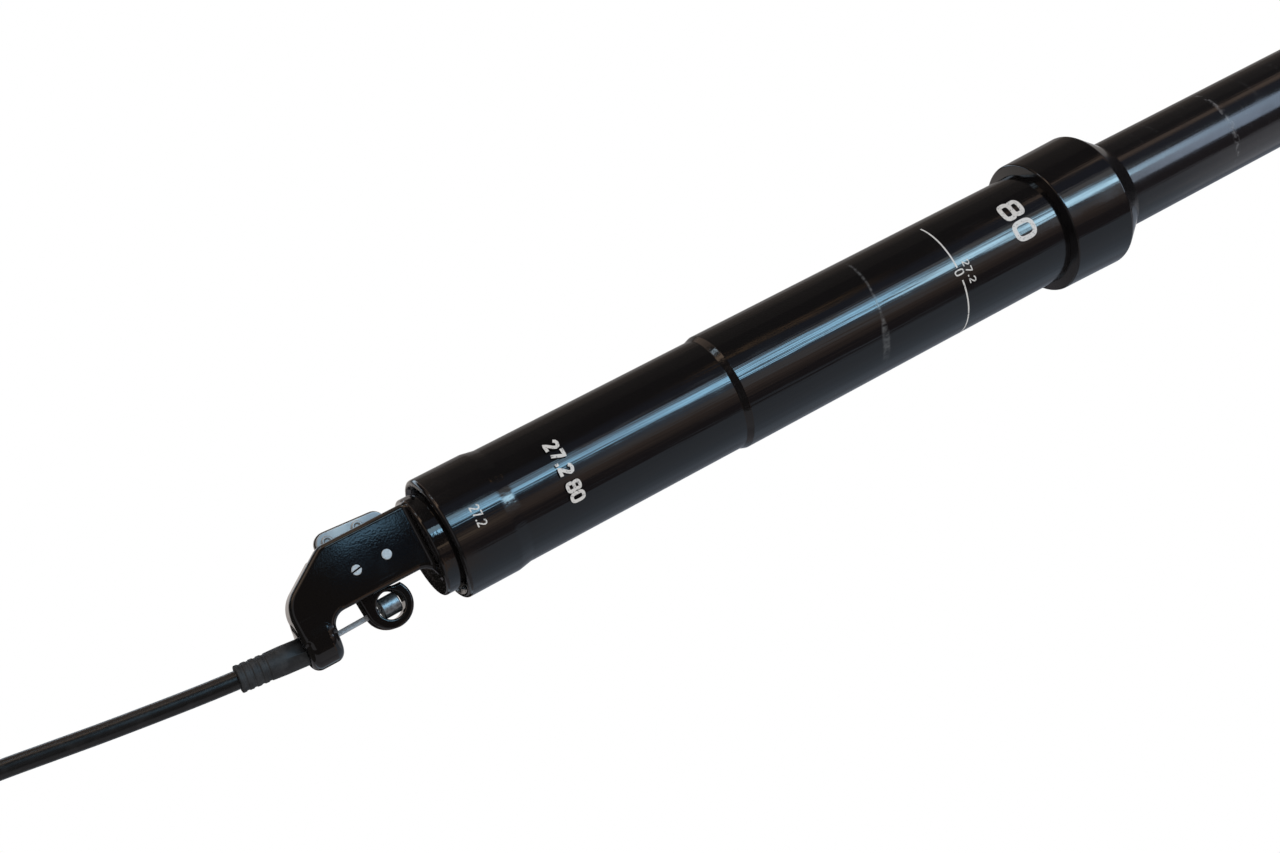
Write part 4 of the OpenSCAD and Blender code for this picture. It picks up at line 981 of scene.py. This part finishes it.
for name, colour, *reach in (
        ("left_of_window", (0.12, 0.14, 0.2), -47, -28),
        ("left_dark", (0.05, 0.045, 0.045), -82, -47),
        ("left_far", (0.09, 0.08, 0.075), -117, -82),
        ("left_back", (0.15, 0.125, 0.11), -142, -117),
        ("left_rim", (0.3, 0.28, 0.27), -168, -142),
        ("warm_line", (1.2, 0.74, 0.4), -53, -50.5, 20, 33, 0.88, (-53, -50)),
        ("warm_band", (0.9, 0.66, 0.52), -57, -48, 33, 60, 0.88, (-66, -49)),
        ("window_foot", (2.6, 3.9, 4.8), -29, -20.5, 1, 7.6, 0.8),
        ("warm_spot", (1.0, 0.74, 0.53), 13.5, 18, 3, 9, 0.84),
        ("warm_edge", (0.6, 0.38, 0.26), 38, 78, 2.2, 6.2, 0.95),
        ("side_lamp", (4.2, 5.2, 6.0), -78, -70, -19, -9, 0.8),
        ("front_low", (0.11, 0.11, 0.15), -9, 4, 6, 13),
        ("dim_pane", (0.45, 0.55, 0.72), -9, 4, 13, 36, 1.0, (-2.5, 6)),
        ("warm_low", (0.42, 0.31, 0.26), 4, 14, 6, 13),
        ("warm_room", (0.7, 0.66, 0.66), 4, 14, 13, 37),
        ("brown_room", (0.47, 0.34, 0.28), 14, 23, 6, 37),
        ("dark_room", (0.28, 0.2, 0.17), 23, 32, 6, 37),
        ("dark_head", (0.12, 0.1, 0.12), 18, 32, 37),
        ("right_gap", (0.09, 0.07, 0.08), 32, 51),
        ("right_side", (0.35, 0.4, 0.47), 51, 90, 6, 41),
        ("right_far", (0.32, 0.38, 0.46), 90, 130, 6, 41),
        ("right_side_high", (0.72, 0.72, 0.78), 51, 90, 41),
        ("right_far_high", (0.6, 0.62, 0.68), 90, 130, 41),
        ("right_back", (0.24, 0.27, 0.32), 130, 168),
        ("back", (0.5, 0.5, 0.52), 168, 192)):
    add_wall(name, colour, *reach)
DARK, BLACK, WARM = (0.045, 0.036, 0.032), (0.012, 0.011, 0.01), (0.6, 0.45, 0.36)
DIM, GREY, PALE = (0.28, 0.27, 0.29), (0.38, 0.37, 0.39), (0.66, 0.61, 0.58)
for start, end, level, under, below in (
        (-28, 32, DARK, DARK, GREY), (32, 54, DARK, DARK, DARK), (54, 92, GREY, GREY, GREY),
        (92, 132, DIM, DIM, DIM), (132, 172, DARK, BLACK, DIM), (172, 178.5, DARK, BLACK, BLACK),
        (178.5, 183, PALE, PALE, BLACK), (183, 206, PALE, PALE, PALE), (206, 228, DARK, BLACK, BLACK),
        (228, 264, WARM, DARK, DARK), (264, 298, WARM, DARK, WARM), (298, 332, DARK, DARK, WARM)):
    for band, colour, low, high in (
            ("level", level, -6, 6), ("under", under, -16.5, -6), ("below", below, -55, -16.5)):
        add_wall(f"room_{band}_{start}", colour, start, end, low, high)
for middle, colour in ((137, (0.5, 0.6, 0.7)), (222, (2.0, 2.4, 2.8)), (303, (2.0, 1.45, 1.05))):
    add_wall(f"side_strip_{middle}", colour, middle - 6, middle + 6, -44, 4, 0.85)
add_flag("dark_ceiling", (0.08, 0.08, 0.09), *level_corners(1.6, 2, 1.6))
add_flag("dark_ground", (0.06, 0.055, 0.05), *level_corners(1.6, 2, -0.8))
FLOOR_Z, FLOOR_HALF = -0.331, 1.4
floor_finish = Finish("pale_floor", Roughness=1.0, Specular_IOR_Level=0.0)
floor_grain = floor_finish.noise(20)
floor_finish.feed(Base_Color=floor_finish.mix(floor_grain, (0.88, 0.88, 0.88), (0.9, 0.9, 0.9)))
floor = add_piece("floor", level_corners(FLOOR_HALF, FLOOR_HALF, FLOOR_Z), [(0, 1, 2, 3)], floor_finish)
floor.visible_glossy = False
